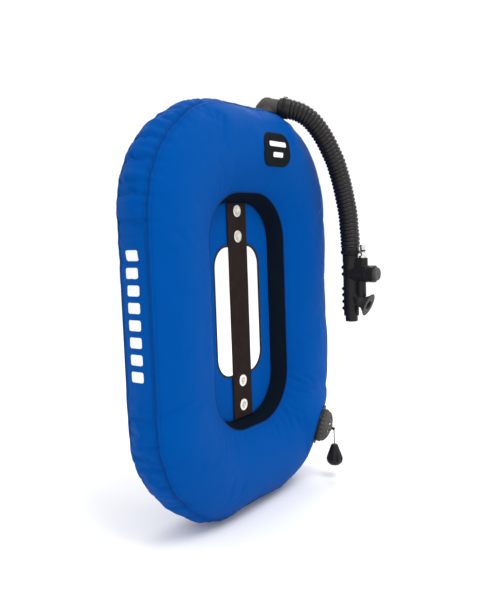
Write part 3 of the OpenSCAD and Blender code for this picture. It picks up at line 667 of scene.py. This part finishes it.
def seat_valve(points):
    """Pulls the fabric up to the underside of the dump valve's flange."""
    rise = (points - VALVE_FOOT) @ VALVE_N
    beside = np.linalg.norm(points - VALVE_FOOT - rise[:, None] * VALVE_N, axis=1)
    to_seam = np.array([inside(p[0], p[2], WING_W, WING_H, WING_R, WING_Z) for p in points])
    share = (1 - fade(beside, 31 * MM, 60 * MM)) * fade(to_seam, 0, 11 * MM) * (points[:, 1] < 0)
    return points + ((0.8 * MM - rise) * share)[:, None] * VALVE_N


def gathers():
    """Outward shift of each column where the curved seam gathers the side band into soft folds."""
    ring = across(0)
    run = run_lengths(ring)[:-1]
    total = run_lengths(ring)[-1]
    strength = np.zeros(len(ring))
    for quarter, size in enumerate((0.55, 1.0, 0.6, 0.5)):
        middle = (quarter * (ARC_N + (SIDE_N + TOP_N) / 2) + ARC_N / 2) / len(ring) * total
        away = np.abs((run - middle + total / 2) % total - total / 2)
        strength = np.maximum(strength, size * (1 - fade(away, 105 * MM, 168 * MM)))
    drift = np.array([noise.noise(Vector((p[0] * 11, p[1] * 11, 3.7))) for p in ring])
    fine = np.cos(2 * math.pi * (run / (17 * MM) + 0.9 * drift))
    broad = np.cos(2 * math.pi * (run / (41 * MM) + 0.7 * drift))
    return strength * (1.3 * MM * fine * (0.7 + 0.8 * np.roll(drift, 31)) + 1.9 * MM * broad)


def fold_out(points, profile):
    """Moves a grid's columns out by the gathers, each row by its own share."""
    normal = np.roll(across(0), 1, axis=0) - np.roll(across(0), -1, axis=0)
    normal = np.stack([-normal[:, 1], np.zeros(len(normal)), normal[:, 0]], axis=1)
    normal = unit_rows(normal)
    normal = normal * np.sign(np.sum(normal * at_depth(across(0) - [0, WING_Z], 0), axis=1))[:, None]
    return points + np.asarray(profile)[:, None, None] * (gathers()[:, None] * normal)[None]


def face_grid(side):
    """Points of one face of the ring; side is -1 for the front and 1 for the back."""
    points = np.array([at_depth(across(s), side * face_depth(s)) for s in FACE_SHARES])
    points = shell_wobble(points.reshape(-1, 3))
    points = seat_valve(points).reshape(len(FACE_SHARES), -1, 3)
    return fold_out(points, 0.3 * np.exp(-FACE_SHARES / 0.06))


def band_grid():
    """Points of the side band, from the front seam to the rear seam."""
    rows = []
    for k in BAND_LEVELS:
        out = BAND_SWELL * (1 - k * k)
        rows.append(at_depth(outline(WING_W + 2 * out, WING_H + 2 * out, WING_R + out, WING_Z),
                             k * SEAM_Y))
    points = np.array(rows)
    points = shell_wobble(points.reshape(-1, 3)).reshape(points.shape)
    return fold_out(points, 1 - 0.7 * BAND_LEVELS ** 2)


def thicken(piece, thickness, offset=-1.0):
    """Gives an open sheet its thickness, below its surface."""
    solid = piece.modifiers.new("thickness", "SOLIDIFY")
    solid.thickness = thickness
    solid.offset = offset
    apply_modifiers(piece)


def apply_modifiers(piece):
    """Writes the modifiers' result to the mesh."""
    bpy.context.view_layer.update()
    graph = bpy.context.evaluated_depsgraph_get()
    mesh = bpy.data.meshes.new_from_object(piece.evaluated_get(graph))
    piece.modifiers.clear()
    old = piece.data
    piece.data = mesh
    bpy.data.meshes.remove(old)


def port(place, direction, radius, reach=30 * MM):
    """A cylinder for cutting a round hole."""
    bm = bmesh.new()
    bmesh.ops.create_cone(bm, cap_ends=True, segments=64, radius1=radius, radius2=radius, depth=2 * reach)
    turn = Vector((0, 0, 1)).rotation_difference(Vector(direction)).to_matrix().to_4x4()
    bm.transform(Matrix.Translation(Vector(place)) @ turn)
    mesh = bpy.data.meshes.new("port")
    bm.to_mesh(mesh)
    bm.free()
    tool = bpy.data.objects.new("port", mesh)
    bpy.context.scene.collection.objects.link(tool)
    return tool


def cut(piece, tools):
    """Cuts the tools out of the piece and removes them."""
    for tool in tools:
        hole = piece.modifiers.new("hole", "BOOLEAN")
        hole.operation = "DIFFERENCE"
        hole.solver = "EXACT"
        hole.object = tool
        apply_modifiers(piece)
        bpy.data.objects.remove(tool)


def build_shell():
    """Front, rear and side panels, puffed together; returns their grids for what is sewn to them."""
    rows, cols = len(FACE_SHARES), across(0).shape[0]
    rims = [j for j in range(cols)] + [(rows - 1) * cols + j for j in range(cols)]
    front = face_grid(-1)
    rear = face_grid(1)
    band = band_grid()
    band_rims = [j for j in range(cols)] + [(len(BAND_LEVELS) - 1) * cols + j for j in range(cols)]
    panels = {
        "front": (add_piece("front_shell", grid_mesh("front_shell", front, planar_uv(front)), "front_panel"),
                  dict(held=rims, spare=0.02, pressure=5.0, bending=0.5, rear=False,
                       out=grid_normals(front, forward).reshape(-1, 3))),
        "rear": (add_piece("rear_shell", grid_mesh("rear_shell", rear, planar_uv(rear), flip=True),
                           "rear_panel"),
                 dict(held=rims, spare=0.02, pressure=5.0, bending=0.5, rear=True,
                      out=grid_normals(rear, backward).reshape(-1, 3))),
        "band": (add_piece("side_band", grid_mesh("side_band", band, wrap_uv(band), flip=True), "outer_band"),
                 dict(held=band_rims, spare=0.08, pressure=5.0, bending=0.15, rear=False,
                      out=grid_normals(band, sideways).reshape(-1, 3))),
    }
    puff(list(panels.values()))
    grids = {name: grid_points(piece, len(BAND_LEVELS) if name == "band" else rows)
             for name, (piece, _) in panels.items()}
    for piece, _ in panels.values():
        thicken(piece, SKIN)
    cut(panels["front"][0], [port(VALVE_FOOT, VALVE_N, 24.6 * MM)])
    cut(panels["band"][0], [port(ELBOW_FOOT, ELBOW_N, 12.5 * MM, 12 * MM)])
    return grids


def tube_mesh(name, path, radius, sides=10, closed=False, radii=None, squash=1.0):
    """Round tube along a path, with its own radius at each point where radii is given."""
    path = np.asarray(path, float)
    count = len(path)
    if closed:
        way = np.roll(path, -1, axis=0) - np.roll(path, 1, axis=0)
    else:
        way = np.gradient(path, axis=0)
    way = way / np.linalg.norm(way, axis=1, keepdims=True)
    rings = []
    side = np.cross(way[0], [0.31, 0.87, 0.38])
    for i in range(count):
        side = side - way[i] * (side @ way[i])
        side = side / np.linalg.norm(side)
        other = np.cross(way[i], side)
        r = radius if radii is None else radii[i]
        angle = np.arange(sides) * 2 * math.pi / sides
        rings.append(path[i] + r * (np.cos(angle)[:, None] * side + squash * np.sin(angle)[:, None] * other))
    points = np.array(rings)
    if closed:
        points = np.concatenate([points, points[:1]])
    along = np.concatenate([[0], np.cumsum(np.linalg.norm(np.diff(points[:, 0], axis=0), axis=1))])
    around = np.arange(sides + 1) * 2 * math.pi * radius / sides
    uv = np.stack(np.broadcast_arrays(around[None, :], along[:, None]), axis=2)
    mesh = grid_mesh(name, points, uv)
    if closed:
        weld(mesh)
    else:
        cap_ends(mesh, sides, len(points))
    return mesh


def weld(mesh):
    """Joins points that lie on each other."""
    bm = bmesh.new()
    bm.from_mesh(mesh)
    bmesh.ops.remove_doubles(bm, verts=bm.verts, dist=1e-7)
    bm.to_mesh(mesh)
    bm.free()


def cap_ends(mesh, sides, rings):
    """Closes the two ends of an open tube."""
    bm = bmesh.new()
    bm.from_mesh(mesh)
    bm.verts.ensure_lookup_table()
    bm.faces.new([bm.verts[j] for j in range(sides - 1, -1, -1)])
    bm.faces.new([bm.verts[(rings - 1) * sides + j] for j in range(sides)])
    bm.to_mesh(mesh)
    bm.free()


def smooth_path(points, count):
    """Catmull-Rom curve through points, at even steps."""
    points = np.asarray(points, float)
    padded = np.concatenate([[2 * points[0] - points[1]], points, [2 * points[-1] - points[-2]]])
    fine = []
    for i in range(1, len(padded) - 2):
        p0, p1, p2, p3 = padded[i - 1:i + 3]
        for t in np.linspace(0, 1, 24, endpoint=False):
            fine.append(0.5 * (2 * p1 + (p2 - p0) * t + (2 * p0 - 5 * p1 + 4 * p2 - p3) * t * t
                               + (3 * p1 - p0 - 3 * p2 + p3) * t ** 3))
    fine.append(points[-1])
    fine = np.array(fine)
    run = np.concatenate([[0], np.cumsum(np.linalg.norm(np.diff(fine, axis=0), axis=1))])
    at = np.linspace(0, run[-1], count)
    return np.stack([np.interp(at, run, fine[:, k]) for k in range(3)], axis=1)


def stitches(name, path, normals, pitch, thickness, look, closed=True):
    """A row of separate thread stitches lying on a sewn line, in one piece."""
    count = len(path)
    run = run_lengths(path) if closed else np.concatenate(
        [[0], np.cumsum(np.linalg.norm(np.diff(path, axis=0), axis=1))])
    ring = np.concatenate([path, path[:1]]) if closed else path
    lift = np.concatenate([normals, normals[:1]]) if closed else normals
    bm = bmesh.new()
    for k in range(int(run[-1] / pitch)):
        ends = [(k + 0.14) * pitch, (k + 0.86) * pitch]
        a, b = (np.array([np.interp(e, run, ring[:, c]) for c in range(3)]) for e in ends)
        up = unit([np.interp(ends[0], run, lift[:, c]) for c in range(3)])
        way = unit(b - a)
        side = np.cross(way, up)
        stations = [(0.0, 0.25, -0.1), (0.15, 0.8, 0.35), (0.5, 1.0, 0.6), (0.85, 0.8, 0.35), (1.0, 0.25, -0.1)]
        rings = []
        for t, width, height in stations:
            middle = lerp(a, b, t) + up * thickness * height
            rings.append([bm.verts.new(middle + thickness / 2 * width
                                       * (math.cos(q) * side + math.sin(q) * up))
                          for q in np.arange(6) * math.pi / 3])
        for first, second in zip(rings, rings[1:]):
            for j in range(6):
                bm.faces.new((first[j], first[(j + 1) % 6], second[(j + 1) % 6], second[j]))
        bm.faces.new(rings[0][::-1])
        bm.faces.new(rings[-1])
    bmesh.ops.recalc_face_normals(bm, faces=bm.faces)
    mesh = bpy.data.meshes.new(name)
    bm.to_mesh(mesh)
    bm.free()
    return add_object(name, mesh, look)


def forward(points):
    """Straight to the front, for each point."""
    return np.broadcast_to([0, -1, 0], points.shape)


def backward(points):
    """Straight to the back, for each point."""
    return np.broadcast_to([0, 1, 0], points.shape)


def sideways(points):
    """Away from the wing's middle line, for each point."""
    return (points - [0, 0, WING_Z]) * [1, 0, 1]


def grid_normals(points, outward):
    """Unit normals of a closed grid that point the given way on the whole."""
    du = np.roll(points, -1, axis=1) - np.roll(points, 1, axis=1)
    dv = np.gradient(points, axis=0)
    normal = np.cross(du, dv)
    normal = normal / np.maximum(np.linalg.norm(normal, axis=2, keepdims=True), 1e-12)
    sign = np.sign(np.sum(normal * outward(points), axis=2, keepdims=True))
    return normal * np.where(sign == 0, 1, sign)


def build_seams(grids):
    """Piping in the seams and rows of stitches beside them."""
    for name, grid, out in (("front", grids["front"], forward), ("rear", grids["rear"], backward)):
        seam = tube_mesh(f"{name}_piping", grid[0], 1.0 * MM, 8, closed=True)
        add_object(f"{name}_piping", seam, THREAD)
        edge = tube_mesh(f"{name}_edge_piping", grid[-1], 1.0 * MM, 8, closed=True)
        add_object(f"{name}_edge_piping", edge, THREAD)
        normals = grid_normals(grid, out)
        for label, row in (("outer", 2), ("inner", -3)):
            stitches(f"{name}_{label}_stitches", grid[row], normals[row], 3.2 * MM, 0.55 * MM,
                             THREAD)
    band = grids["band"]
    normals = grid_normals(band, sideways)
    for label, row in (("front", 1), ("rear", -2)):
        stitches(f"band_{label}_stitches", band[row], normals[row], 3.2 * MM, 0.55 * MM, THREAD)


def build_walls():
    """The recess's wall: two navy panels, darkened by painted shade, that slope from the faces in to the centre
    panel.
    """
    shares = np.linspace(0, 1, 15)
    for name, side, node in (("front_wall", -1, "inner_wall_front"), ("rear_wall", 1, "inner_wall_rear")):
        points = np.array([at_depth(base_outline(t), side * lerp(PANEL_T / 2, EDGE_Y, t)) for t in shares])
        sway = np.sin(np.pi * shares)[:, None, None]
        crumple = wander(points.reshape(-1, 3), 26, 1.8 * MM, 5).reshape(points.shape)
        bulge = np.array([0, side * 2.0 * MM, 0])
        points = points + sway * (crumple + bulge)
        piece = add_piece(name, grid_mesh(name, points, wall_uv(points), flip=side < 0), node)
        thicken(piece, SKIN)


def unit_rows(points):
    """Rows of vectors, each of length 1."""
    return points / np.maximum(np.linalg.norm(points, axis=1, keepdims=True), 1e-9)


def base_outline(t):
    """Outline of the recess at share t from the centre panel (0) to the opening's edge (1)."""
    return outline(lerp(BASE_W, OPEN_W, t), lerp(BASE_H, OPEN_H, t), lerp(BASE_R, OPEN_R, t),
                   lerp(BASE_Z, OPEN_Z, t))


def wall_uv(points):
    """Cloth coordinates of a sloping ring: along its middle row, and down the slope."""
    along = run_lengths(points[len(points) // 2])
    down = run_lengths(points[:, 0])[:-1]
    return np.stack(np.broadcast_arrays(along[None, :], down[:, None]), axis=2)


def build_center_panel():
    """The blue centre panel with its slot, bolt holes and bound edge."""
    slot_w, slot_h = BINDING.x, BINDING.z
    rows = []
    for t in np.linspace(0, 1, 14):
        rows.append(at_depth(outline(lerp(slot_w, BASE_W, t), lerp(slot_h, BASE_H, t),
                                     lerp(SLOT_R + BIND_W, BASE_R, t),
                                     lerp(BINDING_MID.z, BASE_Z, t)), 0.0))
    points = np.array(rows)
    ripple = wander(points.reshape(-1, 3), 30, 1.5 * MM, 8).reshape(points.shape)
    held = np.sin(np.pi * np.linspace(0, 1, 14))[:, None]
    behind_strap = fade(np.abs(points[:, :, 0]), STRAP.x / 2, STRAP.x / 2 + 12 * MM)
    points[:, :, 1] += ripple[:, :, 1] * held * behind_strap
    piece = add_piece("center_cloth", grid_mesh("center_cloth", points, planar_uv(points)), "center_panel")
    thicken(piece, PANEL_T, 0.0)
    cut(piece, [port((0, 0, z), (0, 1, 0), BARREL_R + 0.1 * MM) for z in BOLT_Z])
    middle = at_depth(outline(slot_w - BIND_W, slot_h - BIND_W, SLOT_R + BIND_W / 2, BINDING_MID.z), 0.0)
    tape = tube_mesh("slot_tape", middle, BIND_W / 2, 14, closed=True, squash=BINDING.y / BIND_W)
    add_piece("slot_tape", tape, "slot_binding")
    toward = np.broadcast_to([0, -1.0, 0], middle.shape)
    line = middle + toward * (BINDING.y / 2 - 0.1 * MM)
    stitches("slot_stitches", line, toward, 3 * MM, 0.5 * MM, BLACK_THREAD)


# ---------- strap and eyelets ----------

def build_strap():
    """Webbing strap with rolled edges and holes for the eyelets."""
    half, thick = STRAP.x / 2, STRAP.y
    front, back = STRAP_MID.y - thick / 2, STRAP_MID.y + thick / 2
    xs = half * np.sin(np.linspace(-math.pi / 2, math.pi / 2, 19))
    bulge = thick / 2 * np.sqrt(np.maximum(0, 1 - np.maximum(0, np.abs(xs) / half - 0.93) ** 2 / 0.07 ** 2))
    middle = (front + back) / 2
    section = [(x, middle - b) for x, b in zip(xs, bulge)] + [(x, middle + b) for x, b in
                                                              zip(xs[-2:0:-1], bulge[-2:0:-1])]
    inner_x = BASE_W / 2 - BASE_R
    rows = []
    for t in np.linspace(-1, 1, 130):
        row = []
        for x, y in section:
            over = max(0, abs(x) - inner_x)
            end = BASE_H / 2 - BASE_R + math.sqrt(BASE_R ** 2 - over ** 2) - 1.2 * MM
            row.append((x, y, BASE_Z + t * end))
        rows.append(row)
    points = np.array(rows)
    rib = 0.12 * MM * np.sin(points[:, :, 0] / (2.4 * MM) * 2 * math.pi)
    points[:, :, 1] += rib * np.sign(points[:, :, 1] - middle)
    points[:, :, 0] *= 1 + 0.004 * np.sin(points[:, :, 2] * 90) * (np.abs(points[:, :, 0]) > half * 0.9)
    around = run_lengths(points[0])
    uv = np.stack(np.broadcast_arrays(around[None, :], points[:, :1, 2]), axis=2)
    mesh = grid_mesh("strap_webbing", points, uv)
    cap_ends(mesh, len(section), len(points))
    flip_outward(mesh)
    piece = add_piece("strap_webbing", mesh, "center_strap")
    cut(piece, [port((0, 0, z), (0, 1, 0), BARREL_R + 0.06 * MM) for z in BOLT_Z])


def flip_outward(mesh):
    """Makes a closed mesh's faces look outwards."""
    bm = bmesh.new()
    bm.from_mesh(mesh)
    bmesh.ops.recalc_face_normals(bm, faces=bm.faces)
    bm.to_mesh(mesh)
    bm.free()


def lathe(name, profile, place, direction, segments=64):
    """Closed ring turned from an [r, height] profile about an axis."""
    profile = np.asarray(profile, float)
    angle = np.arange(segments) * 2 * math.pi / segments
    points = np.stack([profile[:, 0, None] * np.cos(angle), profile[:, 0, None] * np.sin(angle),
                       np.repeat(profile[:, 1, None], segments, axis=1)], axis=2)
    points = np.concatenate([points, points[:1]])
    uv = np.stack(np.broadcast_arrays(np.arange(segments + 1)[None] * 0.001,
                                      np.arange(len(points))[:, None] * 0.001), axis=2)
    mesh = grid_mesh(name, points, uv)
    weld(mesh)
    flip_outward(mesh)
    turn = Vector((0, 0, 1)).rotation_difference(Vector(direction)).to_matrix().to_4x4()
    mesh.transform(Matrix.Translation(Vector(place)) @ turn)
    return mesh


def join(name, meshes):
    """Several meshes as one."""
    bm = bmesh.new()
    for mesh in meshes:
        bm.from_mesh(mesh)
        bpy.data.meshes.remove(mesh)
    mesh = bpy.data.meshes.new(name)
    bm.to_mesh(mesh)
    bm.free()
    return mesh


def build_eyelets():
    """Pressed metal eyelets: a rolled front flange and a barrel, with a plain washer behind."""
    low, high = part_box("strap_eyelets")
    length = high.y - low.y
    flange_r = (high.x - low.x) / 2
    roll = [(EYELET_R + 0.5 * MM * (1 - math.cos(a)), length - 1.0 * MM + 1.1 * MM * math.sin(a))
            for a in np.linspace(0, math.pi / 2, 6)]
    brim = [(flange_r - 0.9 * MM + 0.9 * MM * math.sin(a), length - 0.85 * MM + 0.85 * MM * math.cos(a))
            for a in np.linspace(0, math.pi / 2, 6)]
    profile = [(EYELET_R, 0)] + roll + brim + [
        (flange_r, length - 1.0 * MM), (BARREL_R, length - 1.0 * MM), (BARREL_R, 0.2 * MM)]
    rings = [lathe("eyelet", profile, (0, high.y, z), (0, -1, 0)) for z in BOLT_Z]
    add_piece("eyelet_rings", join("eyelet_rings", rings), "strap_eyelets")
    low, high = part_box("eyelet_washers")
    outer = (high.x - low.x) / 2
    plate = [(BARREL_R + 0.05 * MM, 0), (outer - 0.3 * MM, 0), (outer, 0.3 * MM), (outer, 0.7 * MM),
             (outer - 0.3 * MM, 1.0 * MM), (BARREL_R + 0.05 * MM, 1.0 * MM)]
    discs = [lathe("washer", plate, (0, high.y, z), (0, -1, 0)) for z in BOLT_Z]
    add_piece("washer_rings", join("washer_rings", discs), "eyelet_washers")


# ---------- patch and printed marks ----------

def rounded_plate(w, h, r, rings=10, arc=10):
    """Points of a rounded rectangle as rings from its rim to its middle."""
    rim = []
    for quarter in range(4):
        cx = (w / 2 - r) * (1 if quarter in (0, 3) else -1)
        cz = (h / 2 - r) * (1 if quarter < 2 else -1)
        for i in range(arc + 1):
            a = math.pi / 2 * (quarter + i / arc)
            rim.append((cx + r * math.cos(a), cz + r * math.sin(a)))
    rim = np.array(rim)
    return np.array([rim * t for t in np.linspace(1, 0.02, rings)])


def face_plate(name, x, z, w, h, r, gap, thickness, bead=0.0):
    """Thin rounded plate that lies on the front face, with a raised bead inside its rim."""
    flat = rounded_plate(w, h, r, 14)
    shares = np.linspace(1, 0.02, 14)
    top = []
    for ring, share in zip(flat, shares):
        raised = bead * math.exp(-((share - 0.9) / 0.05) ** 2) - 0.4 * thickness * (share > 0.99)
        top.append([(x + px, -face_y(x + px, z + pz) - gap - thickness - raised, z + pz) for px, pz in ring])
    skirt = [[(x + px, -face_y(x + px, z + pz) - gap + 0.4 * thickness, z + pz) for px, pz in flat[0]]]
    points = np.array(skirt + top)
    mesh = grid_mesh(name, points, planar_uv(points), flip=True)
    close_holes(mesh)
    return mesh


def close_holes(mesh):
    """Fills open rims and makes faces look outwards."""
    bm = bmesh.new()
    bm.from_mesh(mesh)
    bmesh.ops.holes_fill(bm, edges=bm.edges, sides=0)
    bmesh.ops.recalc_face_normals(bm, faces=bm.faces)
    bm.to_mesh(mesh)
    bm.free()


def build_patch():
    """Moulded rubber patch with two plain bars on it."""
    size, middle = box_size("patch")
    gap = 0.2 * MM
    plate = face_plate("patch_plate", middle.x, middle.z, size.x, size.z, 20 * MM, gap, 1.6 * MM, 0.5 * MM)
    add_piece("patch_plate", plate, "patch")
    bars = [face_plate("bar", middle.x, middle.z + z, w, 8 * MM, 2.5 * MM, gap + 1.5 * MM, 0.5 * MM)
            for z, w in ((8.5 * MM, 48 * MM), (-8.5 * MM, 28 * MM))]
    add_piece("patch_bars", join("patch_bars", bars), "patch_marks")


def build_side_marks(band):
    """Plain printed bars that follow the left side band's surface."""
    low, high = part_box("side_marks")
    count, length, half = 8, 15 * MM, 11 * MM
    pitch = ((high.z - low.z) - length) / (count - 1)
    left = band[:, :, 0].mean(axis=0) < -CORNER_X - 0.9 * WING_R
    columns = np.where(left)[0]
    strip = band[:, columns]
    order = np.argsort(strip[7, :, 2])
    strip = strip[:, order]

    def surface(y, z):
        """Outside of the band at a depth and height."""
        at = [np.interp(z, row[:, 2], row[:, 0]) for row in strip]
        return np.interp(y, strip[:, len(order) // 2, 1], at)

    meshes = []
    for k in range(count):
        zc = low.z + length / 2 + k * pitch
        flat = rounded_plate(2 * half, length, 3 * MM, 9)
        top = [[(surface(py, zc + pz) - 0.45 * MM, py, zc + pz) for py, pz in ring] for ring in flat]
        skirt = [[(surface(py, zc + pz) + 0.2 * MM, py, zc + pz) for py, pz in flat[0]]]
        points = np.array(skirt + top)
        closed = np.concatenate([points, points[:, :1]], axis=1)
        mesh = grid_mesh("bar", points, closed[:, :, [1, 2]])
        close_holes(mesh)
        meshes.append(mesh)
    add_piece("side_bars", join("side_bars", meshes), "side_marks")


# ---------- bladder ----------

def build_bladder():
    """Inner bladder: two films welded round both edges, under the shell and with their own creases."""
    shares = np.linspace(0.04, 0.96, 22)
    for name, side, node in (("bladder_film_front", -1, "bladder_front"),
                             ("bladder_film_rear", 1, "bladder_rear")):
        film = np.array([at_depth(across(s), side * face_depth(s)) for s in shares])
        film = seat_valve(shell_wobble(film.reshape(-1, 3)))
        crease = wander(film, 30, 1.5 * MM, 11)[:, 1]
        film[:, 1] -= side * (6.5 * MM + np.abs(crease))
        film = film.reshape(len(shares), -1, 3)
        welds = film[[0, -1]].copy()
        welds[:, :, 1] = side * 0.1 * MM
        points = np.concatenate([welds[:1], film, welds[1:]])
        piece = add_piece(name, grid_mesh(name, points, planar_uv(points), flip=side > 0), node)
        thicken(piece, 0.8 * MM)
        tools = [port(ELBOW_FOOT, ELBOW_N, 20 * MM, 40 * MM)]
        if side < 0:
            tools.append(port(VALVE_FOOT - 10 * MM * VALVE_N, VALVE_N, 31 * MM, 20 * MM))
        cut(piece, tools)


# ---------- moulded parts ----------

def moulded(node, voxel, passes=5, keep=0.5, name=None, look=None):
    """A CAD solid with its edges rounded off as a moulded or cast part has them."""
    source = frame["nodes"][node]
    piece = add_object((name or node) + "_moulded", source.data.copy(), look or LOOKS[NODE_SLOT[node]],
                       NODE_BODY[node])
    remesh = piece.modifiers.new("remesh", "REMESH")
    remesh.mode = "VOXEL"
    remesh.voxel_size = voxel
    smooth = piece.modifiers.new("smooth", "SMOOTH")
    smooth.factor = 0.5
    smooth.iterations = passes
    if keep < 1:
        thin = piece.modifiers.new("thin", "DECIMATE")
        thin.ratio = keep
    apply_modifiers(piece)
    piece.data.polygons.foreach_set("use_smooth", [True] * len(piece.data.polygons))
    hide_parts(node)
    return piece


MOULDED_PARTS = {
    "elbow_body": 0.7, "elbow_ring": 0.5, "upper_tie": 0.4, "lower_tie": 0.4, "inflator_body": 0.75,
    "mouthpiece": 0.6, "inflate_bezel": 0.45, "inflate_button": 0.5, "deflate_button": 0.5,
    "nipple": 0.3, "valve_cap": 0.6, "valve_base": 0.7, "valve_poppet": 0.5, "pull_knob": 0.5,
    "zip_slider": 0.25, "zip_pull": 0.25,
}


def build_moulded_parts():
    return {node: moulded(node, voxel * MM) for node, voxel in MOULDED_PARTS.items()}


# ---------- hose and pull cord ----------

SPRING_JOINTS = {"valve_spring": "dump_pull", "inflate_spring": "inflate_press",
                 "deflate_spring": "deflate_press"}


def build_springs():
    """The CAD springs copied as pieces of their own, with their slot's look, fixed where they stand."""
    for node, name in SPRING_JOINTS.items():
        mesh = frame["nodes"][node].data.copy()
        piece = add_object(node + "_coil", mesh, LOOKS[NODE_SLOT[node]], None)
        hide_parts(node)
        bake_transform(piece)


RIB_PITCH = 6.8 * MM
GROOVE = 2.3 * MM
CUFF_L = 12 * MM


def build_hose():
    """Corrugated hose with rounded ribs and a smooth cuff at each end."""
    count = 960
    start = HOSE_ROUTE[0] - ELBOW_D * 20 * MM
    end = HOSE_ROUTE[-1] - [0, 0, CUFF_L - 0.3 * MM]
    path = smooth_path(np.concatenate([[start], HOSE_ROUTE, [end]]), count)
    run = np.concatenate([[0], np.cumsum(np.linalg.norm(np.diff(path, axis=0), axis=1))])
    total = run[-1]
    place = (run / RIB_PITCH) % 1
    ribs = HOSE_D / 2 - GROOVE * (1 - np.sqrt(np.maximum(0, 1 - (2 * place - 1) ** 2)))
    boot = HOSE_D / 2 + 0.5 * MM - 1.2 * MM * fade(run, 3 * MM, 0)
    radii = lerp(boot, ribs, fade(run, 18 * MM, 21 * MM))
    radii = lerp(HOSE_D / 2 - 1.5 * MM, radii, fade(total - run, CUFF_L, CUFF_L + 2 * MM))
    mesh = tube_mesh("ribbed_hose", path, HOSE_D / 2, 40, radii=radii)
    piece = add_object("ribbed_hose", mesh, LOOKS["rubber_black"], body=None)
    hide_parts("hose", "hose_upper_cuff", "hose_lower_cuff")
    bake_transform(piece)
    return piece


def build_pull_cord():
    """Thin twisted line from the valve's eye to the pull knob."""
    top = VALVE_FOOT + (EYE_AT + 1 * MM) * VALVE_N
    count = 90
    drop = np.linspace(0, CORD_L, count)
    strands = []
    for phase in (0, 2 * math.pi / 3, 4 * math.pi / 3):
        turn = phase + drop / (5 * MM) * 2 * math.pi
        offset = 0.5 * MM * np.stack([np.cos(turn), np.sin(turn), np.zeros(count)], axis=1)
        line = top + offset - np.stack([np.zeros(count), np.zeros(count), drop], axis=1)
        strands.append(tube_mesh("strand", line, 0.68 * MM, 8))
    piece = add_piece("twisted_cord", join("twisted_cord", strands), "pull_cord")


# ---------- zip ----------

def build_zip():
    """Zip tapes that lie on the rear face either side of the CAD teeth, with stitches."""
    low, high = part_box("zip_tapes")
    zs = np.linspace(low.z, high.z, 90)
    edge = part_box("zip_teeth")
    meshes = []
    for x0, x1 in ((low.x, edge[0].x), (edge[1].x, high.x)):
        xs = np.linspace(x0, x1, 9)
        points = np.array([[(x, face_y(x, z) + 0.9 * MM + 0.15 * MM * math.sin(x * 2600), z) for x in xs]
                           for z in zs])
        mesh = grid_mesh("tape", points, points[:, :, [0, 2]], closed=False)
        meshes.append(mesh)
    piece = add_piece("zip_cloth", join("zip_cloth", meshes), "zip_tapes")
    thicken(piece, 0.8 * MM, -1.0)
    for label, x in (("left", low.x + 2.5 * MM), ("right", high.x - 2.5 * MM)):
        line = np.array([(x, face_y(x, z) + 1.0 * MM, z) for z in zs])
        up = np.broadcast_to([0, 1.0, 0], line.shape)
        stitches(f"zip_{label}_stitches", line, up, 3 * MM, 0.45 * MM, BLACK_THREAD, closed=False)


# ---------- putting it together ----------

add_camera()
dress_cad_nodes()
hose = build_hose()
parts = build_moulded_parts()
build_springs()
build_pull_cord()
grids = build_shell()
build_seams(grids)
build_walls()
build_center_panel()
build_strap()
build_eyelets()
build_patch()
build_side_marks(grids["band"])
build_bladder()
build_zip()
add_studio()
